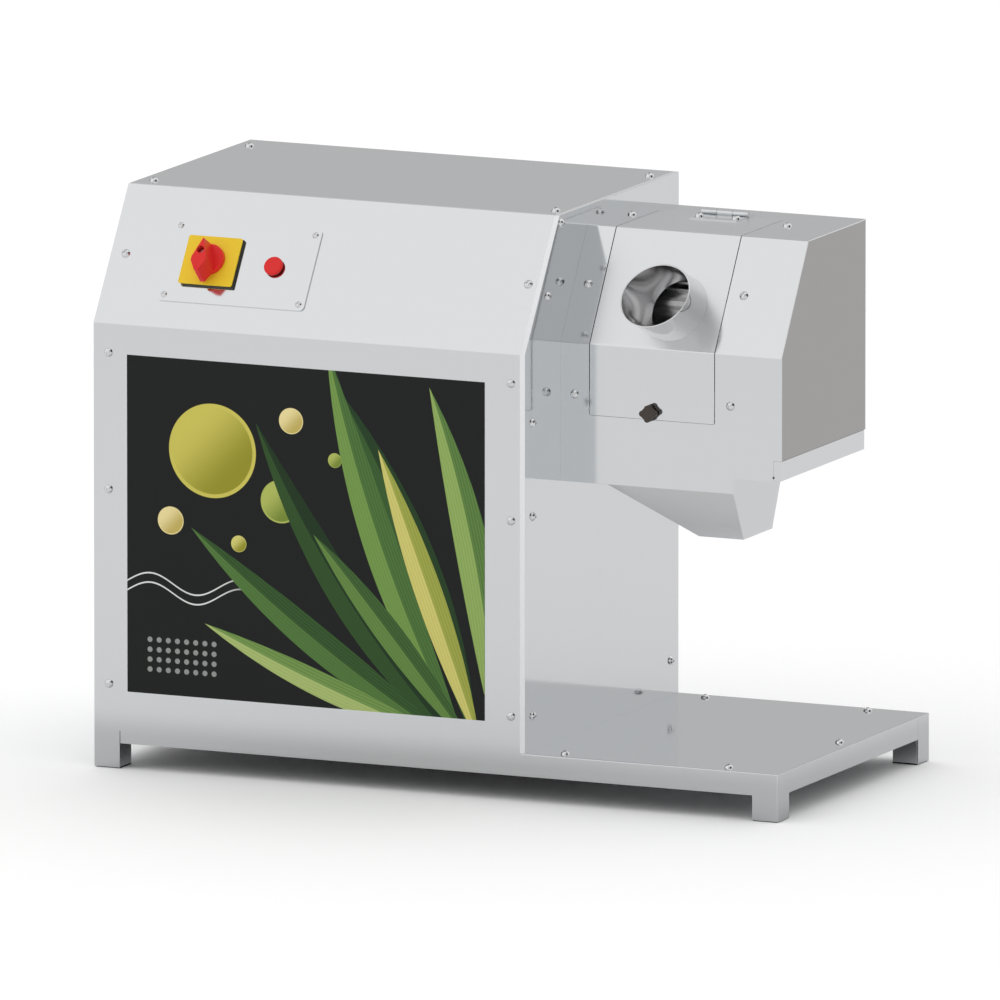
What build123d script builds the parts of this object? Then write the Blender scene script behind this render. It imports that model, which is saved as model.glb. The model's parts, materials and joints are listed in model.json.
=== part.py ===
"""Table-top sugarcane juicer: a cabinet with a motor and a gearbox drives three fluted rollers in an overhung head.

Millimetres, +X to the right along the front, +Y to the back, +Z up, origin on the floor under the middle.
"""
from build123d import *
import math
import os

# Overall sizes and sheet metal
length = 780.0
depth = 390.0
height = 604.0
sheet = 1.5
bend = 3.0
journal_gap = 0.05
loose_gap = 0.3

# Base
deck_height = 51.0
deck_plate = 2.0
skirt_bottom = 27.0
leg = 29.0
leg_lift = 1.0
leg_slit = 13.0
leg_slit_width = 0.8
skirt_round = 1.2
beam_height = 20.0
beam_width = 30.0
beam_wall = 2.0
post_wall = 2.0
glide_pad = 1.5
glide_plug = 10.0
glide_gap = 0.2
relief = 1.2
deck_relief_inset = 6.0

# Cabinet
cabinet_width = 487.0
slope_rise = 133.0
slope_setback = 87.0
side_plate = 6.0
flange = 28.0
angle_leg = 30.0
angle_wall = 3.0
print_left = 38.5
print_width = 408.5
print_bottom = 31.5
print_top_margin = 32.0
print_sheet = 0.8
louvre_count = 9
louvre_length = 90.0
louvre_width = 5.0
louvre_pitch = 14.0
louvre_bottom = 130.0

# Dome-head screws
screw_head = 4.9
screw_dome = 3.5
screw_shank = 2.4
screw_length = 10.0
screw_hole = 2.5
screw_socket = 1.7
screw_socket_depth = 1.4
screw_from_left = 17.0
screw_from_plate = 10.0
front_screw_low = 38.5
front_screw_middle = 175.5
front_screw_high = 31.0
side_screw_low = 37.0
side_screw_middle = 173.0
side_screw_high = 74.5
side_screw_inset = 19.5
side_slope_screw_drop = 4.0
side_top_screw_back = 4.0
side_top_screw_drop = 8.5
deck_screw_left = 38.0
deck_screw_right = 63.0
top_screw_inset = 26.0
rear_top_screw_inset = 39.0

# Controls on the sloped face, measured from the left edge and up the slope from its crease
control_left = 65.0
control_width = 168.0
control_bottom = 29.5
control_height = 93.0
control_corner = 5.0
control_screw_inset = 7.0
small_screw_head = 3.5
small_screw_dome = 2.1
small_screw_shank = 1.4
small_screw_length = 5.0
switch_from_left = 117.3
switch_width = 61.4
switch_height = 55.0
switch_base = 3.4
switch_base_width = 59.3
switch_base_shift = 1.9
switch_base_drop = 0.6
switch_face = 2.0
switch_neck = 20.0
switch_block_width = 44.0
switch_block_depth = 48.0
handle_radius = 16.5
handle_skirt = 5.7
handle_foot_tip = 16.0
handle_foot_tail = 27.0
handle_crown_tip = 14.0
handle_crown_half = 8.3
handle_crown_tail = 22.5
handle_tail_half = 2.5
handle_shoulder_high = 8.4
handle_shoulder_low = 12.6
handle_grip_height = 23.0
handle_round = 0.6
handle_well = 4.0
handle_well_depth = 9.0
handle_stem = 5.0
handle_stem_length = 12.0
button_from_left = 189.0
button_radius = 10.4
button_height = 3.2
button_lift = 2.6
button_travel = 2.2
button_stem = 3.0
collar_radius = 8.4
collar_height = 2.1
collar_thread = 7.4
collar_depth = 16.0
contact_block = 26.0
contact_depth = 30.0

# Head
head_setback = 89.5
head_depth = 216.0
head_length = 251.0
head_drop = 19.5
head_slope_setback = 68.5
head_wall = 131.0
head_skirt = 15.5
end_gap = 22.5
end_recess = 9.0
end_notch_rise = 5.0
end_step = 2.0
end_slit = 0.1
end_rim = 15.0
end_flange_height = 45.0
head_angle_leg = 25.0
head_screw_left = 16.0
head_screw_right = 193.0
head_front_screw_drop = 54.0
head_top_screw_inset = 72.0
head_top_screw_shift = 2.0
outlet_rise = 38.0
outlet_height = 84.0
outlet_left = 30.0
outlet_width = 146.0
outlet_lip = 25.0

# Door of the head with its feed tube, hinge and latch
door_left = 32.5
door_width = 143.0
door_rise = 56.0
door_flap = 106.0
door_gap = 0.8
door_sill_gap = 0.25
door_corner = 2.5
tube_from_plate = 117.4
tube_up_slope = 47.5
tube_radius = 37.2
tube_wall = 2.0
tube_out = 51.0
tube_in = 30.0
tube_dip = 8.5
tube_mouth_tilt = 22.7
hinge_shift = 5.8
hinge_width = 53.0
hinge_barrel = 3.0
hinge_pin_radius = 1.5
hinge_lift = 0.2
hinge_leaf = 1.2
hinge_door_leaf = 32.0
hinge_fixed_leaf = 15.0
hinge_screw_spacing = 42.0
hinge_screw_back = 20.0
hinge_knuckle_gap = 0.3
knob_up = 7.5
knob_shift = -1.4
knob_lobe = 3.4
knob_lobe_circle = 5.5
knob_waist = 6.8
knob_thickness = 8.0
knob_standoff = 2.0
knob_neck = 5.0
latch_stem = 4.0
latch_tongue_width = 12.0
latch_tongue_reach = 28.0
latch_tongue = 2.5
latch_clearance = 1.2

# Juice funnel, placed from the side plate and from the front of the head
funnel_left = 52.0
funnel_right = 196.0
funnel_back = 124.5
funnel_flange = 10.0
spout_width = 51.0
spout_front = 28.0
spout_depth = 73.0
spout_drop = 68.0

# Rollers and their gears
roller_back = 108.5
roller_rise = 160.0
roller_radius = 35.0
roller_spread = 36.0
roller_start = 7.0
roller_length = 183.0
flute_count = 24
flute_depth = 2.4
journal = 15.0
journal_stub = 15.0
outer_plate_offset = 197.0
outer_plate = 8.0
bush_wall = 5.0
bush_flange = 5.0
bush_flange_thickness = 3.0
bush_overhang = 6.0
outer_bush_overhang = 2.0
roller_module = 4.0
roller_teeth = 18
roller_gear_gap = 5.0
roller_gear_width = 25.0
roller_journal_end = 4.0
tie_bar = 8.0
tie_front_back = 40.5
tie_front_rise = 35.0
tie_rear_back = 176.5
tie_rear_rise = 22.0
tie_top_back = 172.5
tie_top_rise = 205.0

# Gear teeth
pressure_angle = 20.0
tooth_addendum = 0.8
tooth_dedendum = 1.2
tooth_backlash = 0.09

# Gearbox, coupling and shelf
gearbox_gap = 85.0
gearbox_length = 140.0
gearbox_wall = 8.0
gearbox_room = 6.0
reducer_module = 2.5
reducer_pinion_teeth = 16
reducer_wheel_teeth = 48
first_stage_inset = 12.0
first_stage_width = 20.0
second_stage_inset = 19.0
second_stage_width = 25.0
reducer_shaft = 12.0
reducer_shaft_end = 3.0
gearbox_bush_length = 24.0
counter_bush_length = 7.0
shelf_plate = 6.0
shelf_drop = 100.0
gusset = 5.0
gusset_inset = 14.0
coupling_radius = 24.0
coupling_length = 54.0
coupling_split = 2.0
coupling_gap = 4.0

# Motor, pulleys and belt
motor_height = 150.0
motor_radius = 70.0
motor_bore = 50.0
rotor_radius = 46.0
motor_left = 240.0
motor_length = 200.0
motor_cover = 12.0
motor_shaft = 12.0
motor_foot_width = 120.0
motor_foot = 28.0
rotor_inset = 20.0
pulley_gap = 42.0
pulley_width = 25.0
pulley_rim = 4.0
pulley_end = 8.0
motor_pulley_radius = 32.0
input_pulley_radius = 80.0
belt_over = 3.0
belt_under = 3.5
belt_top_half = 5.0
belt_bottom_half = 3.55
groove_side = 0.4
groove_floor = 1.5

# Cable gland on the rear panel
gland_from_left = 80.0
gland_height = 90.0
gland_radius = 14.0
gland_flange = 2.5
gland_barrel = 10.0
gland_bore = 4.5
gland_depth = 25.0
gland_nut = 5.0

# Planes of the machine that follow from the sizes above
x_left = -length / 2
x_right = length / 2
y_front = -depth / 2
y_back = depth / 2
x_plate_in = x_left + cabinet_width
x_plate = x_plate_in + side_plate
crease_height = height - slope_rise
head_top = height - head_drop
head_floor = crease_height - head_wall
head_front_bottom = head_floor - head_skirt
end_bottom = head_floor + end_gap
end_notch = head_floor + end_notch_rise
head_front_screw_height = crease_height - head_front_screw_drop
door_bottom = head_floor + door_rise
outlet_bottom = head_floor + outlet_rise
outlet_top = outlet_bottom + outlet_height
spout_height = head_floor - spout_drop
roller_height = head_floor + roller_rise
front_screw_heights = (
    deck_height + front_screw_low, crease_height - front_screw_middle, crease_height - front_screw_high)
side_screw_heights = (
    deck_height + side_screw_low, crease_height - side_screw_middle, crease_height - side_screw_high)
beam_top = deck_height - deck_plate
beam_bottom = beam_top - beam_height
y_head = y_front + head_setback
y_head_back = y_head + head_depth
x_end = x_plate + head_length
x_outer = x_plate + outer_plate_offset
x_outer_right = x_outer + outer_plate
y_roller = y_head + roller_back
roller_pitch = roller_module * roller_teeth
door_x0 = x_plate + door_left
door_x1 = door_x0 + door_width
door_middle = (door_x0 + door_x1) / 2
y_flap_end = y_head + head_slope_setback + door_flap
x_hinge = door_middle + hinge_shift
y_hinge = y_flap_end - door_gap / 2
z_hinge = head_top + hinge_lift + hinge_barrel
knob_height = door_bottom + knob_up
x_knob = door_middle + knob_shift
x_box_right = x_plate_in - gearbox_gap
x_box_left = x_box_right - gearbox_length
counter_drop = reducer_module * (reducer_pinion_teeth + reducer_wheel_teeth) / 2
wheel_tip = reducer_module * (reducer_wheel_teeth / 2 + tooth_addendum)
box_half = wheel_tip + gearbox_room + gearbox_wall
box_bottom = roller_height - counter_drop - box_half
x_pulley_right = x_box_left - pulley_gap
x_pulley_left = x_pulley_right - pulley_width
x_pulley = (x_pulley_left + x_pulley_right) / 2
x_motor_left = x_left + motor_left
x_motor_right = x_motor_left + motor_length
x_gear = x_outer_right + roller_gear_gap
x_journal_end = x_gear + roller_gear_width + roller_journal_end
bush_radius = journal + bush_wall

# Straight runs of the cabinet and of the head as seen from the right, each point (y, z)
cabinet_path = [
    (y_front, deck_height),
    (y_front, crease_height),
    (y_front + slope_setback, height),
    (y_back, height),
    (y_back, deck_height),
]
head_path = [
    (y_head, head_floor),
    (y_head, crease_height),
    (y_head + head_slope_setback, head_top),
    (y_head_back, head_top),
    (y_head_back, head_floor),
]


def block(x0, x1, y0, y1, z0, z1):
    """Box between two corners."""
    return Pos((x0 + x1) / 2, (y0 + y1) / 2, (z0 + z1) / 2) * Box(x1 - x0, y1 - y0, z1 - z0)


def rod_x(x0, x1, y, z, radius):
    """Cylinder along X between two planes."""
    return Pos((x0 + x1) / 2, y, z) * Rot(0, 90, 0) * Cylinder(radius, x1 - x0)


def rod_y(x, y0, y1, z, radius):
    """Cylinder along Y between two planes."""
    return Pos(x, (y0 + y1) / 2, z) * Rot(90, 0, 0) * Cylinder(radius, y1 - y0)


def prism_x(points, x0, x1):
    """Solid between two X planes with a straight-sided outline of (y, z) points."""
    outline = Plane.YZ * make_face(Polyline(*points, close=True))
    return Pos(x0, 0, 0) * extrude(outline, amount=x1 - x0, dir=(1, 0, 0))


def turned_x(points, y, z):
    """Solid of revolution about an axis along X, from (x, radius) points."""
    return Pos(0, y, z) * revolve(make_face(Polyline(*points, close=True)), Axis.X, 360)


def inset_path(path, amount):
    """Moves each run of an open path to its right by an amount, and joins the runs at their corners."""
    runs = []
    for (y0, z0), (y1, z1) in zip(path, path[1:]):
        run = math.hypot(y1 - y0, z1 - z0)
        ny = (z1 - z0) / run * amount
        nz = -(y1 - y0) / run * amount
        runs.append(((y0 + ny, z0 + nz), (y1 + ny, z1 + nz)))
    moved = [runs[0][0]]
    for (a, b), (c, d) in zip(runs, runs[1:]):
        by, bz = b[0] - a[0], b[1] - a[1]
        dy, dz = d[0] - c[0], d[1] - c[1]
        share = ((c[0] - a[0]) * dz - (c[1] - a[1]) * dy) / (by * dz - bz * dy)
        moved.append((a[0] + by * share, a[1] + bz * share))
    moved.append(runs[-1][1])
    return moved


def eased_path(path, amount):
    """Inset path whose corners are cut back, so that it lies inside the rounded folds."""
    moved = inset_path(path, amount)
    eased = [moved[0]]
    for before, corner, after in zip(moved, moved[1:], moved[2:]):
        for other in (before, after):
            share = bend / 2 / math.dist(corner, other)
            eased.append(tuple(c + (o - c) * share for c, o in zip(corner, other)))
    return eased + [moved[-1]]


def ring_x(path, outer, inner, x0, x1):
    """Strip along a path between two insets, as wide as two X planes."""
    return prism_x(eased_path(path, outer) + inset_path(path, inner)[::-1], x0, x1)


def folded_x(path, x0, x1):
    """Folded sheet whose outer face follows a path, with its bends rounded."""
    line = FilletPolyline(*path, radius=bend)
    outline = Plane.YZ * make_face(offset(line, amount=sheet, side=Side.RIGHT))
    return Pos(x0, 0, 0) * extrude(outline, amount=x1 - x0, dir=(1, 0, 0))


def slope_plane(path, x, up):
    """Plane on the sloped run of a path: X along the machine, Y up the slope, Z outwards."""
    (y0, z0), (y1, z1) = path[1], path[2]
    run = math.hypot(y1 - y0, z1 - z0)
    along = ((y1 - y0) / run, (z1 - z0) / run)
    return Plane(origin=(x, y0 + along[0] * up, z0 + along[1] * up), x_dir=(1, 0, 0), z_dir=(0, -along[1], along[0]))


def slope_length(path):
    """Length of the sloped run of a path."""
    (y0, z0), (y1, z1) = path[1], path[2]
    return math.hypot(y1 - y0, z1 - z0)


def dome_screw(head, dome, shank, reach, socket, socket_depth):
    """Screw along Z whose head sits on the plane Z = 0."""
    profile = make_face([
        Line((0, -reach), (shank, -reach)),
        Line((shank, -reach), (shank, 0)),
        Line((shank, 0), (head, 0)),
        ThreePointArc((head, 0), (head * 0.68, dome * 0.72), (0, dome)),
        Line((0, dome), (0, -reach)),
    ])
    body = revolve(Plane.XZ * profile, Axis.Z, 360)
    cut = Pos(0, 0, dome - socket_depth) * extrude(RegularPolygon(socket, 6), amount=dome)
    return body - cut


def face_plane(x, y, z, normal):
    """Plane whose Z points along a face's outward normal."""
    return Plane(origin=(x, y, z), z_dir=normal)


def screw_places():
    """Planes of the panel screws, grouped by the panel that they hold."""
    columns = (x_left + screw_from_left, x_plate_in - screw_from_plate)
    slope_up = slope_length(cabinet_path) / 2
    head_columns = (x_plate + head_screw_left, x_plate + head_screw_right)
    head_up = slope_length(head_path) / 2
    top_back = y_head + head_slope_setback + head_top_screw_inset
    slope_run = slope_plane(cabinet_path, x_plate, slope_up - side_slope_screw_drop)
    side_inset = slope_run.origin - slope_run.z_dir * side_screw_inset
    places = {
        "front": [face_plane(x, y_front, z, (0, -1, 0)) for x in columns for z in front_screw_heights],
        "slope": [slope_plane(cabinet_path, x, slope_up) for x in columns],
        "top": [
            face_plane(x, y, height, (0, 0, 1))
            for x in columns
            for y in (y_front + slope_setback + top_screw_inset, y_back - rear_top_screw_inset)
        ],
        "rear": [face_plane(x, y_back, z, (0, 1, 0)) for x in columns for z in front_screw_heights],
        "side": [
            face_plane(x_plate, y, z, (1, 0, 0))
            for y in (y_front + side_screw_inset, y_back - side_screw_inset)
            for z in side_screw_heights
        ] + [
            face_plane(x_plate, side_inset.Y, side_inset.Z, (1, 0, 0)),
            face_plane(
                x_plate, y_front + slope_setback + side_top_screw_back, height - side_top_screw_drop, (1, 0, 0)),
        ],
        "deck": [
            face_plane(x, y, deck_height, (0, 0, 1))
            for x in (x_plate + deck_screw_left, x_right - deck_screw_right)
            for y in (y_front + sheet + beam_width / 2, y_back - sheet - beam_width / 2)
        ] + [face_plane(x_right - sheet - beam_width / 2, 0, deck_height, (0, 0, 1))],
        "head_front": [face_plane(x, y_head, head_front_screw_height, (0, -1, 0)) for x in head_columns],
        "head_slope": [slope_plane(head_path, x, head_up) for x in head_columns],
        "head_top": [face_plane(x + head_top_screw_shift, top_back, head_top, (0, 0, 1)) for x in head_columns],
        "head_rear": [face_plane(x, y_head_back, head_front_screw_height, (0, 1, 0)) for x in head_columns],
    }
    return places


screws_at = screw_places()


def drill(part, groups):
    """Cuts the clearance holes of some groups of panel screws."""
    for group in groups:
        for place in screws_at[group]:
            part -= place * Pos(0, 0, -screw_length / 2) * Cylinder(screw_hole, 2 * screw_length)
    return part


def panel_screws():
    """All dome-head screws of the fixed panels."""
    screw = dome_screw(screw_head, screw_dome, screw_shank, screw_length, screw_socket, screw_socket_depth)
    return [place * screw for group in screws_at.values() for place in group]


def leg_faces(y_outer, inward):
    """Sheet faces of the two legs on one long side, with their returns round the corners."""
    y_inner = y_outer + inward * sheet
    y_return = y_outer + inward * leg
    low, high = sorted((y_outer, y_inner))
    return_low, return_high = sorted((y_inner, y_return))
    left = block(x_left, x_left + leg, low, high, leg_lift, skirt_bottom)
    left += block(x_left, x_left + sheet, return_low, return_high, leg_lift, skirt_bottom)
    right = block(x_right - leg, x_right, low, high, leg_lift, skirt_bottom)
    right += block(x_plate_in, x_right, low, high, skirt_bottom, deck_height)
    outer = 0 if inward > 0 else -1
    corner = right.edges().filter_by(Axis.Z).group_by(Axis.X)[-1].sort_by(Axis.Y)[outer]
    rim = right.edges().filter_by(Axis.X).group_by(Axis.Z)[-1].sort_by(Axis.Y)[outer]
    right = fillet([corner, rim], skirt_round)
    right += block(x_right - sheet, x_right, return_low, return_high, leg_lift, deck_height)
    return left + right


def front_panel():
    """Front sheet: skirt with leg faces, upright face and sloped control face in one folded piece."""
    path = [(y_front, skirt_bottom), cabinet_path[1], cabinet_path[2]]
    panel = folded_x(path, x_left, x_plate_in) + leg_faces(y_front, 1)
    panel = drill(panel, ("front", "slope"))
    x_slit = x_left + leg
    panel -= block(
        x_slit, x_slit + leg_slit_width, y_front - bend, y_front + bend, skirt_bottom, skirt_bottom + leg_slit)
    window = switch_block_width + 2 * loose_gap
    panel -= control_middle(switch_from_left) * Box(window, window, 4 * sheet)
    panel -= control_middle(button_from_left) * Cylinder(collar_thread + loose_gap, 4 * sheet)
    for place in control_screw_places():
        panel -= place * Cylinder(small_screw_shank + glide_gap, 4 * small_screw_length)
    return panel


def rear_panel():
    """Rear sheet with its skirt, leg faces, louvres and the hole of the cable gland."""
    panel = block(x_left, x_plate_in, y_back - sheet, y_back, skirt_bottom, height - sheet)
    panel += leg_faces(y_back, -1)
    panel = drill(panel, ("rear",))
    middle = (x_motor_left + x_motor_right) / 2
    for row in range(louvre_count):
        z = louvre_bottom + row * louvre_pitch
        slot = Plane.XZ * SlotOverall(louvre_length, louvre_width)
        panel -= Pos(middle, y_back + sheet, z) * extrude(slot, amount=4 * sheet, both=True)
    x_gland = x_left + gland_from_left
    panel -= rod_y(x_gland, y_back - 2 * sheet, y_back + sheet, gland_height, gland_barrel + glide_gap)
    return panel


def left_panel():
    """Left side tray with a screw flange along its front, slope, top and back."""
    plate_path = [(y_front, skirt_bottom)] + cabinet_path[1:4] + [(y_back, skirt_bottom)]
    tray = prism_x(eased_path(plate_path, sheet), x_left, x_left + sheet)
    tray += ring_x(cabinet_path, sheet, 2 * sheet, x_left, x_left + flange)
    return drill(tray, ("front", "slope", "top", "rear"))


def top_cover():
    """Flat top sheet from the head of the slope to the back."""
    cover = block(x_left, x_plate_in, y_front + slope_setback + bend, y_back, height - sheet, height)
    return drill(cover, ("top",))


def side_plate_part():
    """Thick profile-cut plate that carries the head and the rollers."""
    plate = prism_x(cabinet_path, x_plate_in, x_plate)
    for y, z in roller_axes():
        plate -= rod_x(x_plate_in - side_plate, x_plate + side_plate, y, z, bush_radius + journal_gap)
    return drill(plate, ("side",))


def side_plate_frame():
    """Angle frame on the inner face of the side plate, which takes the panel screws."""
    frame = ring_x(cabinet_path, sheet, sheet + angle_wall, x_plate_in - flange, x_plate_in)
    frame += ring_x(cabinet_path, sheet, sheet + angle_leg, x_plate_in - angle_wall, x_plate_in)
    return drill(frame, ("front", "slope", "top", "rear", "side"))


def floor_plate():
    """Floor of the cabinet on the base beams."""
    return block(x_left + sheet, x_plate_in, y_front + sheet, y_back - sheet, beam_top, deck_height)


def deck_part():
    """Deck under the spout, on which the jug stands."""
    deck = block(x_plate_in, x_right - sheet, y_front + sheet, y_back - sheet, beam_top, deck_height)
    for y in (y_front + sheet + 2 * relief, y_back - sheet - 2 * relief):
        deck -= Pos(x_right - deck_relief_inset, y, deck_height) * Cylinder(relief, 4 * deck_plate)
    return drill(deck, ("deck",))


def right_skirt():
    """Right skirt between the returns of the front and rear sheets."""
    return block(x_right - sheet, x_right, y_front + leg, y_back - leg, skirt_bottom, deck_height)


def tube_beam(x0, x1, y0, y1):
    """Rectangular tube between two corners at the height of the base beams, hollow along its longer side."""
    beam = block(x0, x1, y0, y1, beam_bottom, beam_top)
    low, high = beam_bottom + beam_wall, beam_top - beam_wall
    if x1 - x0 > y1 - y0:
        return beam - block(x0, x1, y0 + beam_wall, y1 - beam_wall, low, high)
    return beam - block(x0 + beam_wall, x1 - beam_wall, y0, y1, low, high)


def long_beams():
    """Front and rear base beams."""
    beams = []
    for y0 in (y_front + sheet, y_back - sheet - beam_width):
        beams.append(drill(tube_beam(x_left + sheet, x_right - sheet, y0, y0 + beam_width), ("deck",)))
    return beams


def cross_beams():
    """Left, middle and right base beams between the long ones."""
    y0 = y_front + sheet + beam_width
    starts = (x_left + sheet, x_plate - side_plate / 2 - beam_width / 2, x_right - sheet - beam_width)
    return [drill(tube_beam(x0, x0 + beam_width, y0, -y0), ("deck",)) for x0 in starts]


def corner_places():
    """Lowest X and Y corner of each leg's inside."""
    inner = leg - sheet
    return [(x, y) for x in (x_left + sheet, x_right - leg) for y in (y_front + sheet, y_back - leg)], inner


def leg_posts():
    """Square tube in each leg, between the foot glide and the beam."""
    corners, inner = corner_places()
    posts = []
    for x, y in corners:
        post = block(x, x + inner, y, y + inner, glide_pad, beam_bottom)
        posts.append(post - block(
            x + post_wall, x + inner - post_wall, y + post_wall, y + inner - post_wall, glide_pad, beam_bottom))
    return posts


def foot_glides():
    """Plastic glide plugged into each leg post."""
    corners, inner = corner_places()
    margin = post_wall + glide_gap
    glides = []
    for x, y in corners:
        glide = block(x, x + inner, y, y + inner, 0, glide_pad)
        glides.append(glide + block(
            x + margin, x + inner - margin, y + margin, y + inner - margin, glide_pad, glide_pad + glide_plug))
    return glides


def graphic_panel():
    """Thin printed sheet on the front."""
    x0 = x_left + print_left
    z0 = deck_height + print_bottom
    z1 = crease_height - print_top_margin
    return block(x0, x0 + print_width, y_front - print_sheet, y_front, z0, z1)


def control_middle(from_left):
    """Plane of a control on the middle line of the control plate."""
    return slope_plane(cabinet_path, x_left + from_left, control_bottom + control_height / 2)


def control_screw_places():
    """Planes of the four small screws of the control plate."""
    xs = (control_left + control_screw_inset, control_left + control_width - control_screw_inset)
    ups = (control_bottom + control_screw_inset, control_bottom + control_height - control_screw_inset)
    return [slope_plane(cabinet_path, x_left + x, up) * Pos(0, 0, sheet) for x in xs for up in ups]


def control_plate():
    """Plate with rounded corners under the switch and the button."""
    outline = control_middle(control_left + control_width / 2) * RectangleRounded(
        control_width, control_height, control_corner)
    plate = extrude(outline, amount=sheet)
    plate -= control_middle(switch_from_left) * Cylinder(switch_neck + loose_gap, 4 * sheet)
    plate -= control_middle(button_from_left) * Cylinder(collar_thread + loose_gap, 4 * sheet)
    for place in control_screw_places():
        plate -= place * Cylinder(small_screw_shank + glide_gap, 4 * sheet)
    return plate


def control_plate_screws():
    """Four small dome screws of the control plate."""
    screw = dome_screw(
        small_screw_head, small_screw_dome, small_screw_shank, small_screw_length,
        small_screw_head / 3, small_screw_dome / 2)
    return [place * screw for place in control_screw_places()]


def switch_body():
    """Black switch base on the plate, with its neck and the contact block behind the sheet."""
    base = Pos(switch_base_shift, -switch_base_drop, sheet + switch_base / 2) * Box(
        switch_base_width, switch_height, switch_base)
    neck = Pos(0, 0, -sheet / 2) * Cylinder(switch_neck, 3 * sheet)
    rear = Pos(0, 0, -sheet - switch_block_depth / 2) * Box(
        switch_block_width, switch_block_width, switch_block_depth)
    stem_room = Cylinder(handle_stem + journal_gap, 4 * handle_stem_length)
    return control_middle(switch_from_left) * (base + neck + rear - stem_room)


def switch_face_plate():
    """Yellow plate on the switch base."""
    outline = RectangleRounded(switch_width, switch_height, control_corner / 2)
    plate = Pos(0, 0, sheet + switch_base) * extrude(outline, amount=switch_face)
    return control_middle(switch_from_left) * (plate - Cylinder(handle_stem + journal_gap, 4 * handle_stem_length))


def grip_outline(tip, half, low, tail):
    """Seven-sided face of the handle's grip: a long taper to the tip up the slope, a short one to a blunt tail."""
    return make_face(Polyline(
        (0, tip), (half, -handle_shoulder_high), (half, -low), (handle_tail_half, -tail),
        (-handle_tail_half, -tail), (-half, -low), (-half, -handle_shoulder_high), close=True))


def grip_foot():
    """Wider outline at the grip's foot, each side along its side of the crown so that the flanks are flat."""
    widening = (handle_foot_tip + handle_shoulder_high) / (handle_crown_tip + handle_shoulder_high)
    half = handle_crown_half * widening
    taper = (handle_crown_tail - handle_shoulder_low) / (handle_crown_half - handle_tail_half)
    low = handle_foot_tail - (half - handle_tail_half) * taper
    return grip_outline(handle_foot_tip, half, low, handle_foot_tail)


def switch_handle():
    """Red handle: round skirt, tapered grip with the well of its screw, and a stem in the switch."""
    floor = sheet + switch_base + switch_face + loose_gap
    skirt = Pos(0, 0, floor) * Cylinder(handle_radius, handle_skirt, align=(Align.CENTER, Align.CENTER, Align.MIN))
    skirt = fillet(skirt.edges().group_by(Axis.Z)[-1], handle_round)
    crown = floor + handle_skirt + handle_grip_height
    ridge = Pos(0, 0, crown) * grip_outline(
        handle_crown_tip, handle_crown_half, handle_shoulder_low, handle_crown_tail)
    grip = loft([Pos(0, 0, floor + handle_skirt) * grip_foot(), ridge], ruled=True)
    grip = fillet(grip.edges().group_by(Axis.Z)[-1], handle_round)
    grip -= Pos(0, 0, crown) * Cylinder(handle_well, 2 * handle_well_depth)
    stem = Pos(0, 0, floor - handle_stem_length / 2) * Cylinder(handle_stem, handle_stem_length)
    return control_middle(switch_from_left) * (skirt + grip + stem)


def button_collar():
    """Ring of the push button on the plate, with its threaded body through the sheets."""
    ring = Pos(0, 0, sheet) * Cylinder(collar_radius, collar_height, align=(Align.CENTER, Align.CENTER, Align.MIN))
    thread = Pos(0, 0, sheet - collar_depth / 2) * Cylinder(collar_thread, collar_depth)
    bore = Cylinder(button_stem + journal_gap, 4 * collar_depth)
    return control_middle(button_from_left) * (ring + thread - bore)


def button_cap():
    """Red mushroom button, hollow over the collar's ring, with a stem through the collar."""
    seat = sheet + button_lift
    cap = Pos(0, 0, seat) * Cylinder(button_radius, button_height, align=(Align.CENTER, Align.CENTER, Align.MIN))
    cap = fillet(cap.edges().group_by(Axis.Z)[-1], button_height / 2)
    hollow = collar_height + button_travel + loose_gap - button_lift
    cap -= Pos(0, 0, seat) * Cylinder(collar_radius + loose_gap, 2 * hollow)
    stem_length = button_lift + hollow + collar_depth - button_travel - loose_gap
    stem = Pos(0, 0, seat + hollow) * Cylinder(
        button_stem, stem_length, align=(Align.CENTER, Align.CENTER, Align.MAX))
    return control_middle(button_from_left) * (cap + stem)


def button_contacts():
    """Contact block behind the push button."""
    block_part = Pos(0, 0, sheet - collar_depth) * Box(
        contact_block, contact_block, contact_depth, align=(Align.CENTER, Align.CENTER, Align.MAX))
    return control_middle(button_from_left) * block_part


def cable_gland():
    """Gland on the rear panel: flange, barrel through the sheet and nut, with the bore for a cable."""
    x, z = x_left + gland_from_left, gland_height
    gland = rod_y(x, y_back, y_back + gland_flange, z, gland_radius)
    gland += rod_y(x, y_back - gland_depth, y_back, z, gland_barrel)
    gland += rod_y(x, y_back - sheet - gland_nut, y_back - sheet, z, gland_radius)
    return gland - rod_y(x, y_back - 2 * gland_depth, y_back + gland_depth, z, gland_bore)


def roller_axes():
    """(y, z) of the top, front and rear rollers."""
    spread = math.radians(roller_spread)
    side, drop = roller_pitch * math.sin(spread), roller_pitch * math.cos(spread)
    return [
        (y_roller, roller_height),
        (y_roller - side, roller_height - drop),
        (y_roller + side, roller_height - drop),
    ]


def tooth_half_angle(radius, pitch_radius, teeth):
    """Half the angle that a tooth spans at a radius, from its involute flank."""
    base = pitch_radius * math.cos(math.radians(pressure_angle))
    share = math.acos(min(1.0, base / max(radius, base)))
    pressure = math.radians(pressure_angle)
    start = math.pi / (2 * teeth) * (1 - tooth_backlash)
    return start + (math.tan(pressure) - pressure) - (math.tan(share) - share)


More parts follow.
